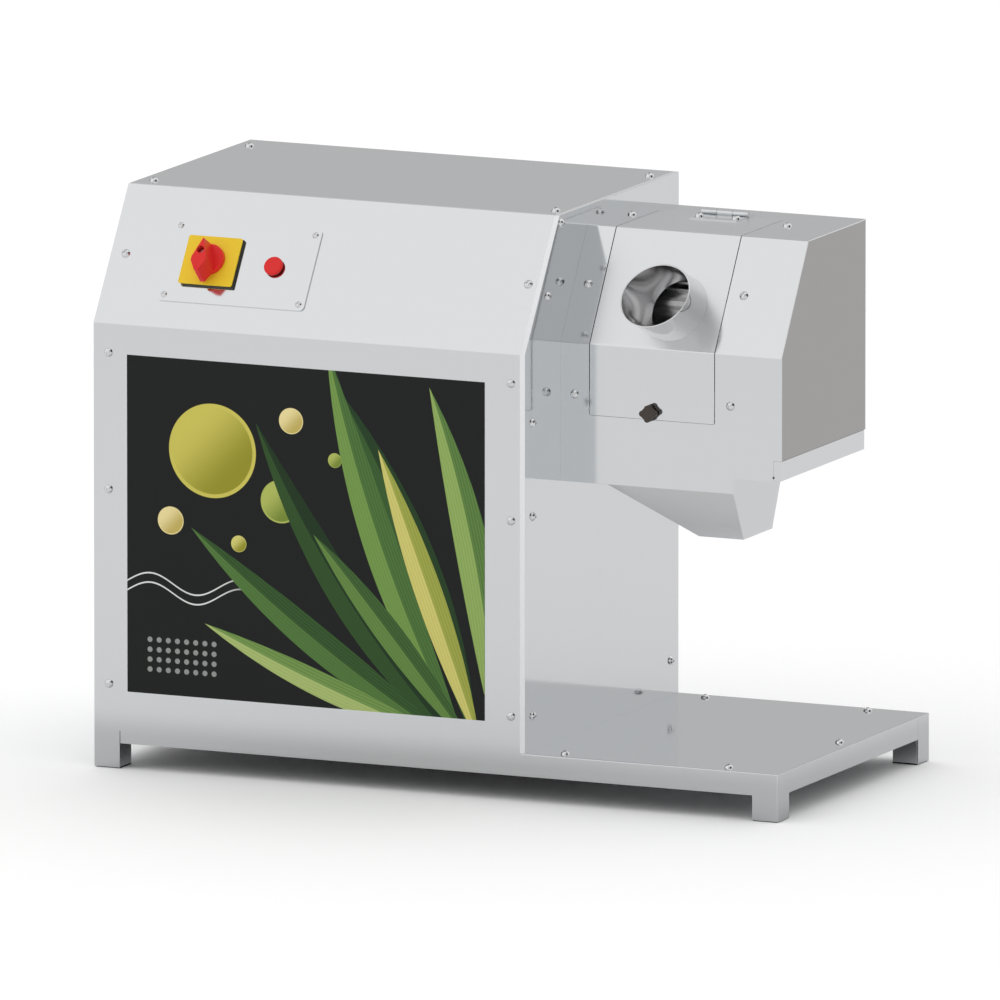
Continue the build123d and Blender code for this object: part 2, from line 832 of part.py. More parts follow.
def gear_outline(module, teeth, phase):
    """Face of a spur gear in (y, z), with one tooth centred on the phase angle in degrees."""
    pitch_radius = module * teeth / 2
    radii = (pitch_radius - tooth_dedendum * module, pitch_radius, pitch_radius + tooth_addendum * module)
    points = []
    for tooth in range(teeth):
        middle = math.radians(phase) + tooth * 2 * math.pi / teeth
        flank = [(radius, tooth_half_angle(radius, pitch_radius, teeth)) for radius in radii]
        rising = [(radius, middle - half) for radius, half in flank]
        falling = [(radius, middle + half) for radius, half in flank[::-1]]
        points += [(radius * math.cos(angle), radius * math.sin(angle)) for radius, angle in rising + falling]
    return points


def spur_gear(module, teeth, phase, y, z, x0, x1):
    """Spur gear about an axis along X."""
    points = [(y + dy, z + dz) for dy, dz in gear_outline(module, teeth, phase)]
    return prism_x(points, x0, x1)


def meshing_phase(direction, teeth, phase, mate_teeth):
    """Phase of a gear that meshes with another one, which sees it in a direction in degrees."""
    pitch, mate_pitch = 360.0 / teeth, 360.0 / mate_teeth
    share = (direction - phase) / pitch
    return direction + 180.0 - mate_pitch * (0.5 - share)


def roller_gear_phases():
    """Rest angles of the top, front and rear roller gears, in mesh."""
    to_front = -90.0 - roller_spread
    to_rear = -90.0 + roller_spread
    return [
        to_front,
        meshing_phase(to_front, roller_teeth, to_front, roller_teeth),
        meshing_phase(to_rear, roller_teeth, to_front, roller_teeth),
    ]


def roller_gear(which):
    """Gear on the outer end of a roller."""
    y, z = roller_axes()[which]
    phase = roller_gear_phases()[which]
    gear = spur_gear(roller_module, roller_teeth, phase, y, z, x_gear, x_gear + roller_gear_width)
    return gear - rod_x(x_outer, x_end, y, z, journal + journal_gap)


def roller(which):
    """Fluted roller with its journals, turned from one bar."""
    y, z = roller_axes()[which]
    points = []
    for flute in range(flute_count):
        for share, radius in ((0.0, roller_radius), (0.55, roller_radius), (0.775, roller_radius - flute_depth)):
            angle = (flute + share) * 2 * math.pi / flute_count
            points.append((y + radius * math.cos(angle), z + radius * math.sin(angle)))
    drum = prism_x(points, x_plate + roller_start, x_plate + roller_start + roller_length)
    x_left_end = x_plate_in - journal_stub
    if which == 0:
        x_left_end = coupling_middle() + coupling_split / 2
    return drum + rod_x(x_left_end, x_journal_end, y, z, journal)


def coupling_middle():
    """X of the joint between the gearbox's output shaft and the top roller's journal."""
    return x_box_right + gearbox_bush_length / 2 + coupling_gap + coupling_length / 2


def flanged_bush(x_face, side, inner_end, outer_end, y, z, bore):
    """Bush in a plate hole, with its flange on the side that the roller is on."""
    x_flange = x_face + side * bush_flange_thickness
    flange_low, flange_high = sorted((x_face, x_flange))
    bush = rod_x(flange_low, flange_high, y, z, bore + bush_wall + bush_flange)
    sleeve_low, sleeve_high = sorted((inner_end, outer_end))
    bush += rod_x(sleeve_low, sleeve_high, y, z, bore + bush_wall)
    return bush - rod_x(sleeve_low - flange, sleeve_high + flange, y, z, bore + journal_gap)


def roller_bushes():
    """Bronze bushes of the rollers in the side plate and in the outer plate."""
    bushes = []
    for y, z in roller_axes():
        bushes.append(flanged_bush(x_plate, 1, x_plate_in - bush_overhang, x_plate, y, z, journal))
        bushes.append(flanged_bush(x_outer, -1, x_outer, x_outer_right + outer_bush_overhang, y, z, journal))
    return bushes


def outer_roller_plate():
    """Outer bearing plate of the rollers, with a screw rim towards the door."""
    path = [(y_head, head_floor + sheet)] + head_path[1:4] + [(y_head_back, head_floor + sheet)]
    plate = prism_x(eased_path(path, sheet), x_outer, x_outer_right)
    plate += ring_x(path, sheet, sheet + angle_wall, x_outer_right - angle_leg + angle_wall, x_outer_right)
    for y, z in roller_axes():
        plate -= rod_x(x_outer - outer_plate, x_outer_right + outer_plate, y, z, bush_radius + journal_gap)
    return drill(plate, ("head_front", "head_slope", "head_top", "head_rear"))


def head_frame():
    """Angle frame of the head on the outer face of the side plate."""
    path = [(y_head, head_floor + sheet)] + head_path[1:4] + [(y_head_back, head_floor + sheet)]
    frame = ring_x(path, sheet, sheet + angle_wall, x_plate, x_plate + angle_leg)
    frame += ring_x(path, sheet, sheet + head_angle_leg, x_plate, x_plate + angle_wall)
    return drill(frame, ("head_front", "head_slope", "head_top", "head_rear"))


def tie_bars():
    """Bars that hold the outer plate to the side plate."""
    places = (
        (y_head + tie_front_back, head_floor + tie_front_rise),
        (y_head + tie_rear_back, head_floor + tie_rear_rise),
        (y_head + tie_top_back, head_floor + tie_top_rise),
    )
    return [rod_x(x_plate, x_outer, y, z, tie_bar) for y, z in places]


def head_shell():
    """Folded front, slope and top of the head, with the opening of the door."""
    path = [(y_head, head_front_bottom)] + head_path[1:4]
    shell = folded_x(path, x_plate, x_end)
    opening = block(door_x0, door_x1, y_head - bend, y_flap_end, door_bottom, head_top + bend)
    opening = fillet(opening.edges().filter_by(Axis.Y).group_by(Axis.Z)[0], door_corner)
    shell -= opening
    shell -= block(x_plate + funnel_right, x_end + bend, y_head - bend, y_head + bend, 0, head_floor)
    shell -= block(x_end - end_recess, x_end + bend, y_head - bend, y_head + bend, 0, end_bottom)
    shell -= rod_y(x_end - end_recess, y_head - bend, y_head + bend, end_notch, relief)
    return drill(shell, ("head_front", "head_slope", "head_top"))


def head_rear_panel():
    """Rear sheet of the head with the outlet for crushed cane and its lip."""
    panel = block(x_plate, x_end, y_head_back - sheet, y_head_back, head_floor, head_top - sheet)
    x0 = x_plate + outlet_left
    panel -= block(x0, x0 + outlet_width, y_head_back - bend, y_head_back + bend, outlet_bottom, outlet_top)
    lip = prism_x(
        [
            (y_head_back, outlet_bottom - sheet),
            (y_head_back + outlet_lip, outlet_bottom - outlet_lip / 2 - sheet),
            (y_head_back + outlet_lip, outlet_bottom - outlet_lip / 2),
            (y_head_back, outlet_bottom),
        ],
        x0, x0 + outlet_width)
    panel -= block(x_end - end_recess, x_end + bend, y_head_back - bend, y_head_back + bend, 0, end_bottom)
    return drill(panel + lip, ("head_rear",))


def end_panel():
    """Dark end cover let into the end of the head, with a rim against the sheets."""
    path = [(y_head, end_bottom)] + head_path[1:4] + [(y_head_back, end_bottom)]
    cover = prism_x(eased_path(path, sheet), x_end - sheet, x_end)
    return cover + ring_x(path, sheet, 2 * sheet, x_end - end_rim, x_end)


def head_floor_pan():
    """Floor of the head with the funnel hole, a flange behind the end cover and a stepped one that shows below it."""
    x1 = x_end - end_recess
    pan = block(x_plate, x1, y_head + sheet, y_head_back - sheet, head_floor, head_floor + sheet)
    clear = 2 * sheet + loose_gap
    y0, y1 = y_head + clear, y_head_back - clear
    pan += block(x1 - sheet, x1, y0, y1, head_floor, head_floor + end_flange_height)
    step = head_floor + end_step
    pan += block(x1 - sheet, x_end, y0, y1, step, step + sheet)
    pan += block(x_end - sheet, x_end, y_head, y1, step, end_bottom - end_slit)
    pan += block(x1 + end_slit, x_end, y_head, y_head + sheet, step, end_bottom - end_slit)
    pan -= rod_y(x1, y_head - bend, y_head + bend, end_notch, relief)
    hole_x0, hole_x1 = x_plate + funnel_left + sheet, x_plate + funnel_right - sheet
    hole_y0, hole_y1 = y_head + 2 * sheet, y_head + funnel_back - sheet
    return pan - block(hole_x0, hole_x1, hole_y0, hole_y1, 0, head_top)


def funnel_body(wall):
    """Solid of the hopper and its collar, drawn in by a wall."""
    x0, x1 = x_plate + funnel_left + wall, x_plate + funnel_right - wall
    y0, y1 = y_head + sheet + wall, y_head + funnel_back - wall
    spout_x0 = x_plate + funnel_right - spout_width + wall
    spout_y0 = y_head + spout_front + wall
    spout_y1 = y_head + spout_front + spout_depth - wall
    top = Pos((x0 + x1) / 2, (y0 + y1) / 2, head_front_bottom) * Rectangle(x1 - x0, y1 - y0)
    spout = Pos((spout_x0 + x1) / 2, (spout_y0 + spout_y1) / 2, spout_height) * Rectangle(
        x1 - spout_x0, spout_y1 - spout_y0)
    return loft([spout, top], ruled=True) + block(x0, x1, y0, y1, head_front_bottom, head_floor)


def juice_funnel():
    """Sheet hopper under the head: collar, flange under the floor, sloping walls and open spout."""
    funnel = funnel_body(0.0)
    x0, x1 = x_plate + funnel_left - funnel_flange, x_plate + funnel_right
    y1 = y_head + funnel_back + funnel_flange
    funnel += block(x0, x1, y_head + sheet, y1, head_floor - sheet, head_floor)
    return funnel - funnel_body(sheet)


def door_panel():
    """Door of the head in three facets: flap, slope with the tube's hole, and upright front."""
    path = [
        (y_head, door_bottom + door_sill_gap),
        head_path[1],
        head_path[2],
        (y_flap_end - door_gap, head_top),
    ]
    panel = folded_x(path, door_x0 + door_gap, door_x1 - door_gap)
    lower = panel.edges().filter_by(Axis.Y).group_by(Axis.Z)[0]
    panel = fillet(lower, door_corner - door_gap)
    panel -= tube_plane() * Cylinder(tube_radius + glide_gap, 2 * tube_in)
    panel -= rod_y(x_knob, y_head - bend, y_head + bend, knob_height, latch_stem + journal_gap)
    for place in hinge_screw_places():
        panel -= place * Cylinder(screw_hole, 2 * screw_length)
    return panel


def tube_plane():
    """Plane across the feed tube at the slope of the head, with Z out along the tube."""
    return slope_plane(head_path, x_plate + tube_from_plate, tube_up_slope).rotated((tube_dip, 0, 0))


def feed_tube():
    """Polished tube through the door, nearly square to the slope, with a slanting mouth."""
    whole = tube_in + 2 * tube_out
    tube = Pos(0, 0, -tube_in) * Cylinder(tube_radius, whole, align=(Align.CENTER, Align.CENTER, Align.MIN))
    tube -= Cylinder(tube_radius - tube_wall, 4 * whole)
    cutter = Box(4 * tube_radius, 4 * tube_radius, 4 * tube_out, align=(Align.CENTER, Align.CENTER, Align.MIN))
    tube -= Pos(0, 0, tube_out) * Rot(-tube_mouth_tilt, 0, 0) * cutter
    return tube_plane() * tube


def hinge_thirds():
    """X ranges of the three knuckles of the hinge."""
    x0 = x_hinge - hinge_width / 2
    third = hinge_width / 3
    half = hinge_knuckle_gap / 2
    return [
        (x0, x0 + third - half),
        (x0 + third + half, x0 + 2 * third - half),
        (x0 + 2 * third + half, x0 + hinge_width),
    ]


def hinge_leaf_part(reach, side, knuckles):
    """Leaf of the hinge on the head's top, to one side of the barrel, with its knuckles."""
    clear = hinge_barrel + 2 * hinge_lift
    near, far = y_hinge + side * clear, y_hinge + side * reach
    low, high = sorted((near, far))
    leaf = block(x_hinge - hinge_width / 2, x_hinge + hinge_width / 2, low, high, head_top, head_top + hinge_leaf)
    low, high = sorted((y_hinge, near))
    for x0, x1 in knuckles:
        leaf += block(x0, x1, low, high, head_top, head_top + hinge_leaf)
        leaf += rod_x(x0, x1, y_hinge, z_hinge, hinge_barrel)
    pin_room = hinge_pin_radius + journal_gap
    return leaf - rod_x(x_hinge - hinge_width, x_hinge + hinge_width, y_hinge, z_hinge, pin_room)


def hinge_screw_places():
    """Planes of the two screws in the door's leaf."""
    xs = (x_hinge - hinge_screw_spacing / 2, x_hinge + hinge_screw_spacing / 2)
    return [face_plane(x, y_hinge - hinge_screw_back, head_top + hinge_leaf, (0, 0, 1)) for x in xs]


def hinge_door_leaf_part():
    """Leaf on the door's flap with the middle knuckle."""
    leaf = hinge_leaf_part(hinge_door_leaf, -1, (hinge_thirds()[1],))
    for place in hinge_screw_places():
        leaf -= place * Cylinder(screw_hole, 2 * screw_length)
    return leaf


def hinge_fixed_leaf_part():
    """Leaf on the fixed top with the two outer knuckles."""
    thirds = hinge_thirds()
    return hinge_leaf_part(hinge_fixed_leaf, 1, (thirds[0], thirds[2]))


def hinge_pin():
    """Pin through the three knuckles."""
    return rod_x(x_hinge - hinge_width / 2, x_hinge + hinge_width / 2, y_hinge, z_hinge, hinge_pin_radius)


def hinge_screws():
    """Dome-head screws of the door's leaf."""
    screw = dome_screw(screw_head, screw_dome, screw_shank, screw_length, screw_socket, screw_socket_depth)
    return [place * screw for place in hinge_screw_places()]


def latch_knob():
    """Four-lobed knob with a neck and a stem through the door."""
    front = Plane(origin=(x_knob, y_head, knob_height), x_dir=(1, 0, 0), z_dir=(0, -1, 0))
    outline = Circle(knob_waist)
    for lobe in range(4):
        angle = math.radians(90 * lobe)
        outline += Pos(knob_lobe_circle * math.cos(angle), knob_lobe_circle * math.sin(angle)) * Circle(knob_lobe)
    knob = Pos(0, 0, knob_standoff) * extrude(outline, amount=knob_thickness)
    knob += Pos(0, 0, loose_gap) * Cylinder(
        knob_neck, knob_standoff - loose_gap, align=(Align.CENTER, Align.CENTER, Align.MIN))
    knob += Pos(0, 0, loose_gap) * Cylinder(
        latch_stem, sheet + latch_clearance + loose_gap, align=(Align.CENTER, Align.CENTER, Align.MAX))
    return front * knob


def latch_tongue_part():
    """Tongue on the stem's inner end; it lies level at rest and turns down behind the shell to hold the door."""
    y0 = y_head + sheet + latch_clearance
    half = latch_tongue_width / 2
    return block(
        x_knob - half, x_knob + latch_tongue_reach,
        y0, y0 + latch_tongue, knob_height - half, knob_height + half)


def counter_axis():
    """(y, z) of the gearbox's countershaft, below the line of the input and output shafts."""
    return y_roller, roller_height - counter_drop


def first_stage():
    """X range of the gearbox's first pair of gears."""
    x0 = x_box_left + gearbox_wall + first_stage_inset
    return x0, x0 + first_stage_width


def second_stage():
    """X range of the gearbox's second pair of gears."""
    x1 = x_box_right - gearbox_wall - second_stage_inset
    return x1 - second_stage_width, x1


def gearbox_housing():
    """Open box of the gearbox with the seats of its right-hand bushes."""
    box = block(x_box_left + gearbox_wall, x_box_right, y_roller - box_half, y_roller + box_half,
                box_bottom, roller_height + box_half)
    inner = box_half - gearbox_wall
    box -= block(x_box_left, x_box_right - gearbox_wall, y_roller - inner, y_roller + inner,
                 box_bottom + gearbox_wall, roller_height + inner)
    y, z = counter_axis()
    box -= rod_x(x_box_left, x_box_right + flange, y_roller, roller_height, bush_radius + journal_gap)
    box -= rod_x(x_box_left, x_box_right + flange, y, z, reducer_shaft + bush_wall + journal_gap)
    return box


def gearbox_cover():
    """Left cover of the gearbox with the seats of its bushes."""
    cover = block(x_box_left, x_box_left + gearbox_wall, y_roller - box_half, y_roller + box_half,
                  box_bottom, roller_height + box_half)
    for y, z in ((y_roller, roller_height), counter_axis()):
        cover -= rod_x(x_box_left - flange, x_box_left + flange, y, z, reducer_shaft + bush_wall + journal_gap)
    return cover


def plain_bush(x0, x1, y, z, bore):
    """Plain bush between two planes."""
    return rod_x(x0, x1, y, z, bore + bush_wall) - rod_x(x0 - flange, x1 + flange, y, z, bore + journal_gap)


def gearbox_bushes():
    """Bushes of the input shaft, the output shaft and both ends of the countershaft."""
    half = gearbox_bush_length / 2
    y, z = counter_axis()
    return [
        plain_bush(x_box_left - half, x_box_left + gearbox_wall, y_roller, roller_height, reducer_shaft),
        plain_bush(x_box_right - gearbox_wall, x_box_right + half, y_roller, roller_height, journal),
        plain_bush(x_box_left, x_box_left + counter_bush_length, y, z, reducer_shaft),
        plain_bush(x_box_right - counter_bush_length, x_box_right, y, z, reducer_shaft),
    ]


def reducer_phases():
    """Rest angles of the input pinion, counter wheel, counter pinion and output wheel, in mesh."""
    wheel = meshing_phase(-90.0, reducer_pinion_teeth, -90.0, reducer_wheel_teeth)
    output = meshing_phase(90.0, reducer_pinion_teeth, 90.0, reducer_wheel_teeth)
    return -90.0, wheel, 90.0, output


def input_shaft():
    """Input shaft of the gearbox with its pinion, from the pulley's end to the first stage."""
    x0, x1 = first_stage()
    shaft = rod_x(x_pulley_left - pulley_end, x1 + reducer_shaft_end, y_roller, roller_height, reducer_shaft)
    phase = reducer_phases()[0]
    return shaft + spur_gear(reducer_module, reducer_pinion_teeth, phase, y_roller, roller_height, x0, x1)


def countershaft():
    """Countershaft with the wheel of the first stage and the pinion of the second."""
    y, z = counter_axis()
    shaft = rod_x(x_box_left, x_box_right, y, z, reducer_shaft)
    shaft += spur_gear(reducer_module, reducer_wheel_teeth, reducer_phases()[1], y, z, *first_stage())
    return shaft + spur_gear(reducer_module, reducer_pinion_teeth, reducer_phases()[2], y, z, *second_stage())


def output_gear():
    """Output wheel of the gearbox with the output shaft."""
    x0, x1 = second_stage()
    shaft = rod_x(x0 - reducer_shaft_end, coupling_middle() - coupling_split / 2, y_roller, roller_height, journal)
    phase = reducer_phases()[3]
    return shaft + spur_gear(reducer_module, reducer_wheel_teeth, phase, y_roller, roller_height, x0, x1)


def shaft_coupling():
    """Sleeve that joins the output shaft to the top roller's journal."""
    x0 = coupling_middle() - coupling_length / 2
    return plain_tube(x0, x0 + coupling_length, coupling_radius, journal + journal_gap)


def plain_tube(x0, x1, outer, inner):
    """Tube about the axis of the top roller."""
    tube = rod_x(x0, x1, y_roller, roller_height, outer)
    return tube - rod_x(x0 - flange, x1 + flange, y_roller, roller_height, inner)


def gearbox_shelf():
    """Shelf under the gearbox, with a flange on the side plate and two gussets."""
    y0, y1 = y_roller - box_half, y_roller + box_half
    drop = box_bottom - shelf_drop
    shelf = block(x_box_left, x_plate_in, y0, y1, box_bottom - shelf_plate, box_bottom)
    shelf += block(x_plate_in - shelf_plate, x_plate_in, y0, y1, drop, box_bottom)
    for side in (-1, 1):
        middle = y_roller + side * (box_half - gusset_inset)
        outline = Plane.XZ * make_face(Polyline(
            (x_plate_in - shelf_plate, drop), (x_plate_in - shelf_plate, box_bottom - shelf_plate),
            (x_box_left, box_bottom - shelf_plate), close=True))
        shelf += Pos(0, middle, 0) * extrude(outline, amount=gusset / 2, both=True)
    return shelf


def motor_body():
    """Stator and frame of the motor with its two feet on the floor."""
    body = turned_x(
        [
            (x_motor_left, motor_bore), (x_motor_right, motor_bore),
            (x_motor_right, motor_radius), (x_motor_left, motor_radius),
        ],
        y_roller, motor_height)
    for x0 in (x_motor_left, x_motor_right - motor_foot):
        foot = block(x0, x0 + motor_foot, y_roller - motor_foot_width / 2, y_roller + motor_foot_width / 2,
                     deck_height, motor_height)
        body += foot - rod_x(x0 - flange, x0 + motor_length, y_roller, motor_height, (motor_bore + motor_radius) / 2)
    return body


def motor_end_covers():
    """End covers of the motor with the bearings' bores."""
    covers = []
    for x0 in (x_motor_left - motor_cover, x_motor_right):
        cover = rod_x(x0, x0 + motor_cover, y_roller, motor_height, motor_radius)
        bore = rod_x(x0 - flange, x0 + motor_length, y_roller, motor_height, motor_shaft + journal_gap)
        covers.append(cover - bore)
    return covers


def motor_rotor():
    """Rotor of the motor on its shaft."""
    x_shaft_left = x_pulley_left - pulley_end
    x_shaft_right = x_motor_right + motor_cover
    return turned_x(
        [
            (x_shaft_left, 0), (x_shaft_right, 0), (x_shaft_right, motor_shaft),
            (x_motor_right - rotor_inset, motor_shaft), (x_motor_right - rotor_inset, rotor_radius),
            (x_motor_left + rotor_inset, rotor_radius), (x_motor_left + rotor_inset, motor_shaft),
            (x_shaft_left, motor_shaft),
        ],
        y_roller, motor_height)


def pulley(pitch_radius, bore, z):
    """V-belt pulley about an axis along X."""
    rim = pitch_radius + pulley_rim
    floor_radius = pitch_radius - belt_under - groove_floor
    slope = (belt_top_half - belt_bottom_half) / (belt_over + belt_under)
    half_rim = belt_top_half + groove_side + slope * (pulley_rim - belt_over)
    half_floor = belt_bottom_half + groove_side - slope * groove_floor
    return turned_x(
        [
            (x_pulley_left, bore + journal_gap), (x_pulley_right, bore + journal_gap), (x_pulley_right, rim),
            (x_pulley + half_rim, rim), (x_pulley + half_floor, floor_radius),
            (x_pulley - half_floor, floor_radius), (x_pulley - half_rim, rim), (x_pulley_left, rim),
        ],
        y_roller, z)


def drive_belt():
    """V-belt round both pulleys."""
    gap = roller_height - motor_height
    lean = math.asin((input_pulley_radius - motor_pulley_radius) / gap)
    cos, sin = math.cos(lean), math.sin(lean)

    def at(radius, z, y_share, z_share):
        return Vector(x_pulley, y_roller + radius * y_share, z + radius * z_share)

    big, small = input_pulley_radius, motor_pulley_radius
    start = at(small, motor_height, cos, -sin)
    path = Wire([
        Line(start, at(big, roller_height, cos, -sin)).edge(),
        ThreePointArc(at(big, roller_height, cos, -sin), at(big, roller_height, 0, 1),
                      at(big, roller_height, -cos, -sin)).edge(),
        Line(at(big, roller_height, -cos, -sin), at(small, motor_height, -cos, -sin)).edge(),
        ThreePointArc(at(small, motor_height, -cos, -sin), at(small, motor_height, 0, -1), start).edge(),
    ])
    section_plane = Plane(origin=start, x_dir=(1, 0, 0), z_dir=path % 0)
    outward = section_plane.to_local_coords(start + Vector(0, cos, -sin)).Y
    section = section_plane * make_face(Polyline(
        (-belt_bottom_half, -outward * belt_under), (belt_bottom_half, -outward * belt_under),
        (belt_top_half, outward * belt_over), (-belt_top_half, outward * belt_over), close=True))
    return sweep(section, path=path)


nodes = {
    "front_panel": front_panel(),
    "rear_panel": rear_panel(),
    "left_panel": left_panel(),
    "top_cover": top_cover(),
    "side_plate": side_plate_part(),
    "side_plate_frame": side_plate_frame(),
    "floor_plate": floor_plate(),
    "deck_plate": deck_part(),
    "right_skirt": right_skirt(),
    "long_beams": long_beams(),
    "cross_beams": cross_beams(),
    "leg_posts": leg_posts(),
    "foot_glides": foot_glides(),
    "graphic_panel": graphic_panel(),
    "panel_screws": panel_screws(),
    "control_plate": control_plate(),
    "control_plate_screws": control_plate_screws(),
    "switch_body": switch_body(),
    "switch_face_plate": switch_face_plate(),
    "switch_handle": switch_handle(),
    "button_collar": button_collar(),
    "button_cap": button_cap(),
    "button_contacts": button_contacts(),
    "cable_gland": cable_gland(),
    "head_shell": head_shell(),
    "head_rear_panel": head_rear_panel(),
    "end_panel": end_panel(),
    "head_floor_pan": head_floor_pan(),
    "head_frame": head_frame(),
    "outer_roller_plate": outer_roller_plate(),
    "tie_bars": tie_bars(),
    "shaft_bushes": roller_bushes() + gearbox_bushes(),
    "top_roller": roller(0),
    "front_roller": roller(1),
    "rear_roller": roller(2),
    "top_roller_gear": roller_gear(0),
    "front_roller_gear": roller_gear(1),
    "rear_roller_gear": roller_gear(2),
    "juice_funnel": juice_funnel(),
    "door_panel": door_panel(),
    "feed_tube": feed_tube(),
    "hinge_door_leaf": hinge_door_leaf_part(),
    "hinge_fixed_leaf": hinge_fixed_leaf_part(),
    "hinge_pin": hinge_pin(),
    "hinge_screws": hinge_screws(),
    "latch_knob": latch_knob(),
    "latch_tongue": latch_tongue_part(),
    "gearbox_housing": gearbox_housing(),
    "gearbox_cover": gearbox_cover(),
    "input_shaft": input_shaft(),
    "countershaft": countershaft(),
    "output_gear": output_gear(),
    "shaft_coupling": shaft_coupling(),
    "gearbox_shelf": gearbox_shelf(),
    "motor_body": motor_body(),
    "motor_end_covers": motor_end_covers(),
    "motor_rotor": motor_rotor(),
    "motor_pulley": pulley(motor_pulley_radius, motor_shaft, motor_height),
    "input_pulley": pulley(input_pulley_radius, reducer_shaft, roller_height),
    "drive_belt": drive_belt(),
}

os.makedirs("parts", exist_ok=True)
for name, shape in nodes.items():
    if isinstance(shape, list):
        shape = Compound(children=shape)
    export_step(shape, f"parts/{name}.step")
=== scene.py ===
"""Looks of a table-top sugarcane juicer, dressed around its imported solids.

Metres, +X to the right along the front, +Y to the back, +Z up, origin on the floor under the middle.
"""
from __future__ import annotations

import json
import logging
import math
from dataclasses import dataclass, field
from enum import Enum
from typing import Any, Callable, Union

import bmesh
import bpy
from mathutils import Matrix, Vector


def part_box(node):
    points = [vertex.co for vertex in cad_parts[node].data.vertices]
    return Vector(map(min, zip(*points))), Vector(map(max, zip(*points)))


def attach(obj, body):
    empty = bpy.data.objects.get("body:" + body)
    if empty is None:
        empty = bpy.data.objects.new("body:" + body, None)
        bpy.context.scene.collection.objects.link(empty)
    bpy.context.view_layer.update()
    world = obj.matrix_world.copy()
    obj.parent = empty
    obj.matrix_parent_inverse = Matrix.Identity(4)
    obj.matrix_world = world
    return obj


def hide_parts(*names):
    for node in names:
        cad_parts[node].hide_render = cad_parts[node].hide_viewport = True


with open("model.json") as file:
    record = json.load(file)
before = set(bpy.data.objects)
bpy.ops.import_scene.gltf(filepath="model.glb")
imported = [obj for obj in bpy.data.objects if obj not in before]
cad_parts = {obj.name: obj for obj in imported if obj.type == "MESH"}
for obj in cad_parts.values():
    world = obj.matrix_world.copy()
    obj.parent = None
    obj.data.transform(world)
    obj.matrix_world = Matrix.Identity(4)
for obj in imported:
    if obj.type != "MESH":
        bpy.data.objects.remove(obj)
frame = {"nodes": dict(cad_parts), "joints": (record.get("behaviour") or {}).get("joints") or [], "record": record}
log = logging.getLogger("juicer")

Triple = tuple[float, float, float]
Number = Union[float, "Value"]

SAME_POINT = 0.000002
SAME_CORNER = 0.00001
FACING = 0.9
FLAT_ANGLE = math.radians(0.5)
EDGE_ANGLE = math.radians(40)
EDGE_SEGMENTS = 2
FINE_SIDES = 96
ROUND_SIDES = 64
SMALL_SIDES = 48


def shade(red: int, green: int, blue: int) -> tuple[float, float, float, float]:
    """Turns a colour as it looks on a screen into the linear colour of a shader.

    Args:
        red: Red from 0 to 255.
        green: Green from 0 to 255.
        blue: Blue from 0 to 255.

    Returns:
        Linear red, green, blue and a full alpha.
    """
    parts = [part / 255 for part in (red, green, blue)]
    linear = [part / 12.92 if part < 0.04045 else ((part + 0.055) / 1.055) ** 2.4 for part in parts]
    return (*linear, 1.0)


def darker(colour: tuple[float, ...], share: float) -> tuple[float, float, float, float]:
    """Linear colour that has lost a share of its light."""
    return (*(part * (1 - share) for part in colour[:3]), 1.0)


class Value:
    """A socket of a shader graph, whose sums and products become Math nodes."""

    def __init__(self, graph: Graph, socket: bpy.types.NodeSocket) -> None:
        """Keeps the graph and the socket."""
        self.graph = graph
        self.socket = socket

    def __add__(self, other: Number) -> Value:
        """Sum of two values."""
        return self.graph.math("ADD", self, other)

    def __radd__(self, other: Number) -> Value:
        """Sum with a number on the left."""
        return self.graph.math("ADD", other, self)

    def __sub__(self, other: Number) -> Value:
        """Difference of two values."""
        return self.graph.math("SUBTRACT", self, other)

    def __rsub__(self, other: Number) -> Value:
        """Difference from a number on the left."""
        return self.graph.math("SUBTRACT", other, self)

    def __mul__(self, other: Number) -> Value:
        """Product of two values."""
        return self.graph.math("MULTIPLY", self, other)

    def __rmul__(self, other: Number) -> Value:
        """Product with a number on the left."""
        return self.graph.math("MULTIPLY", other, self)

    def __truediv__(self, other: Number) -> Value:
        """Quotient of two values."""
        return self.graph.math("DIVIDE", self, other)

    def __abs__(self) -> Value:
        """Size of a value without its sign."""
        return self.graph.math("ABSOLUTE", self)


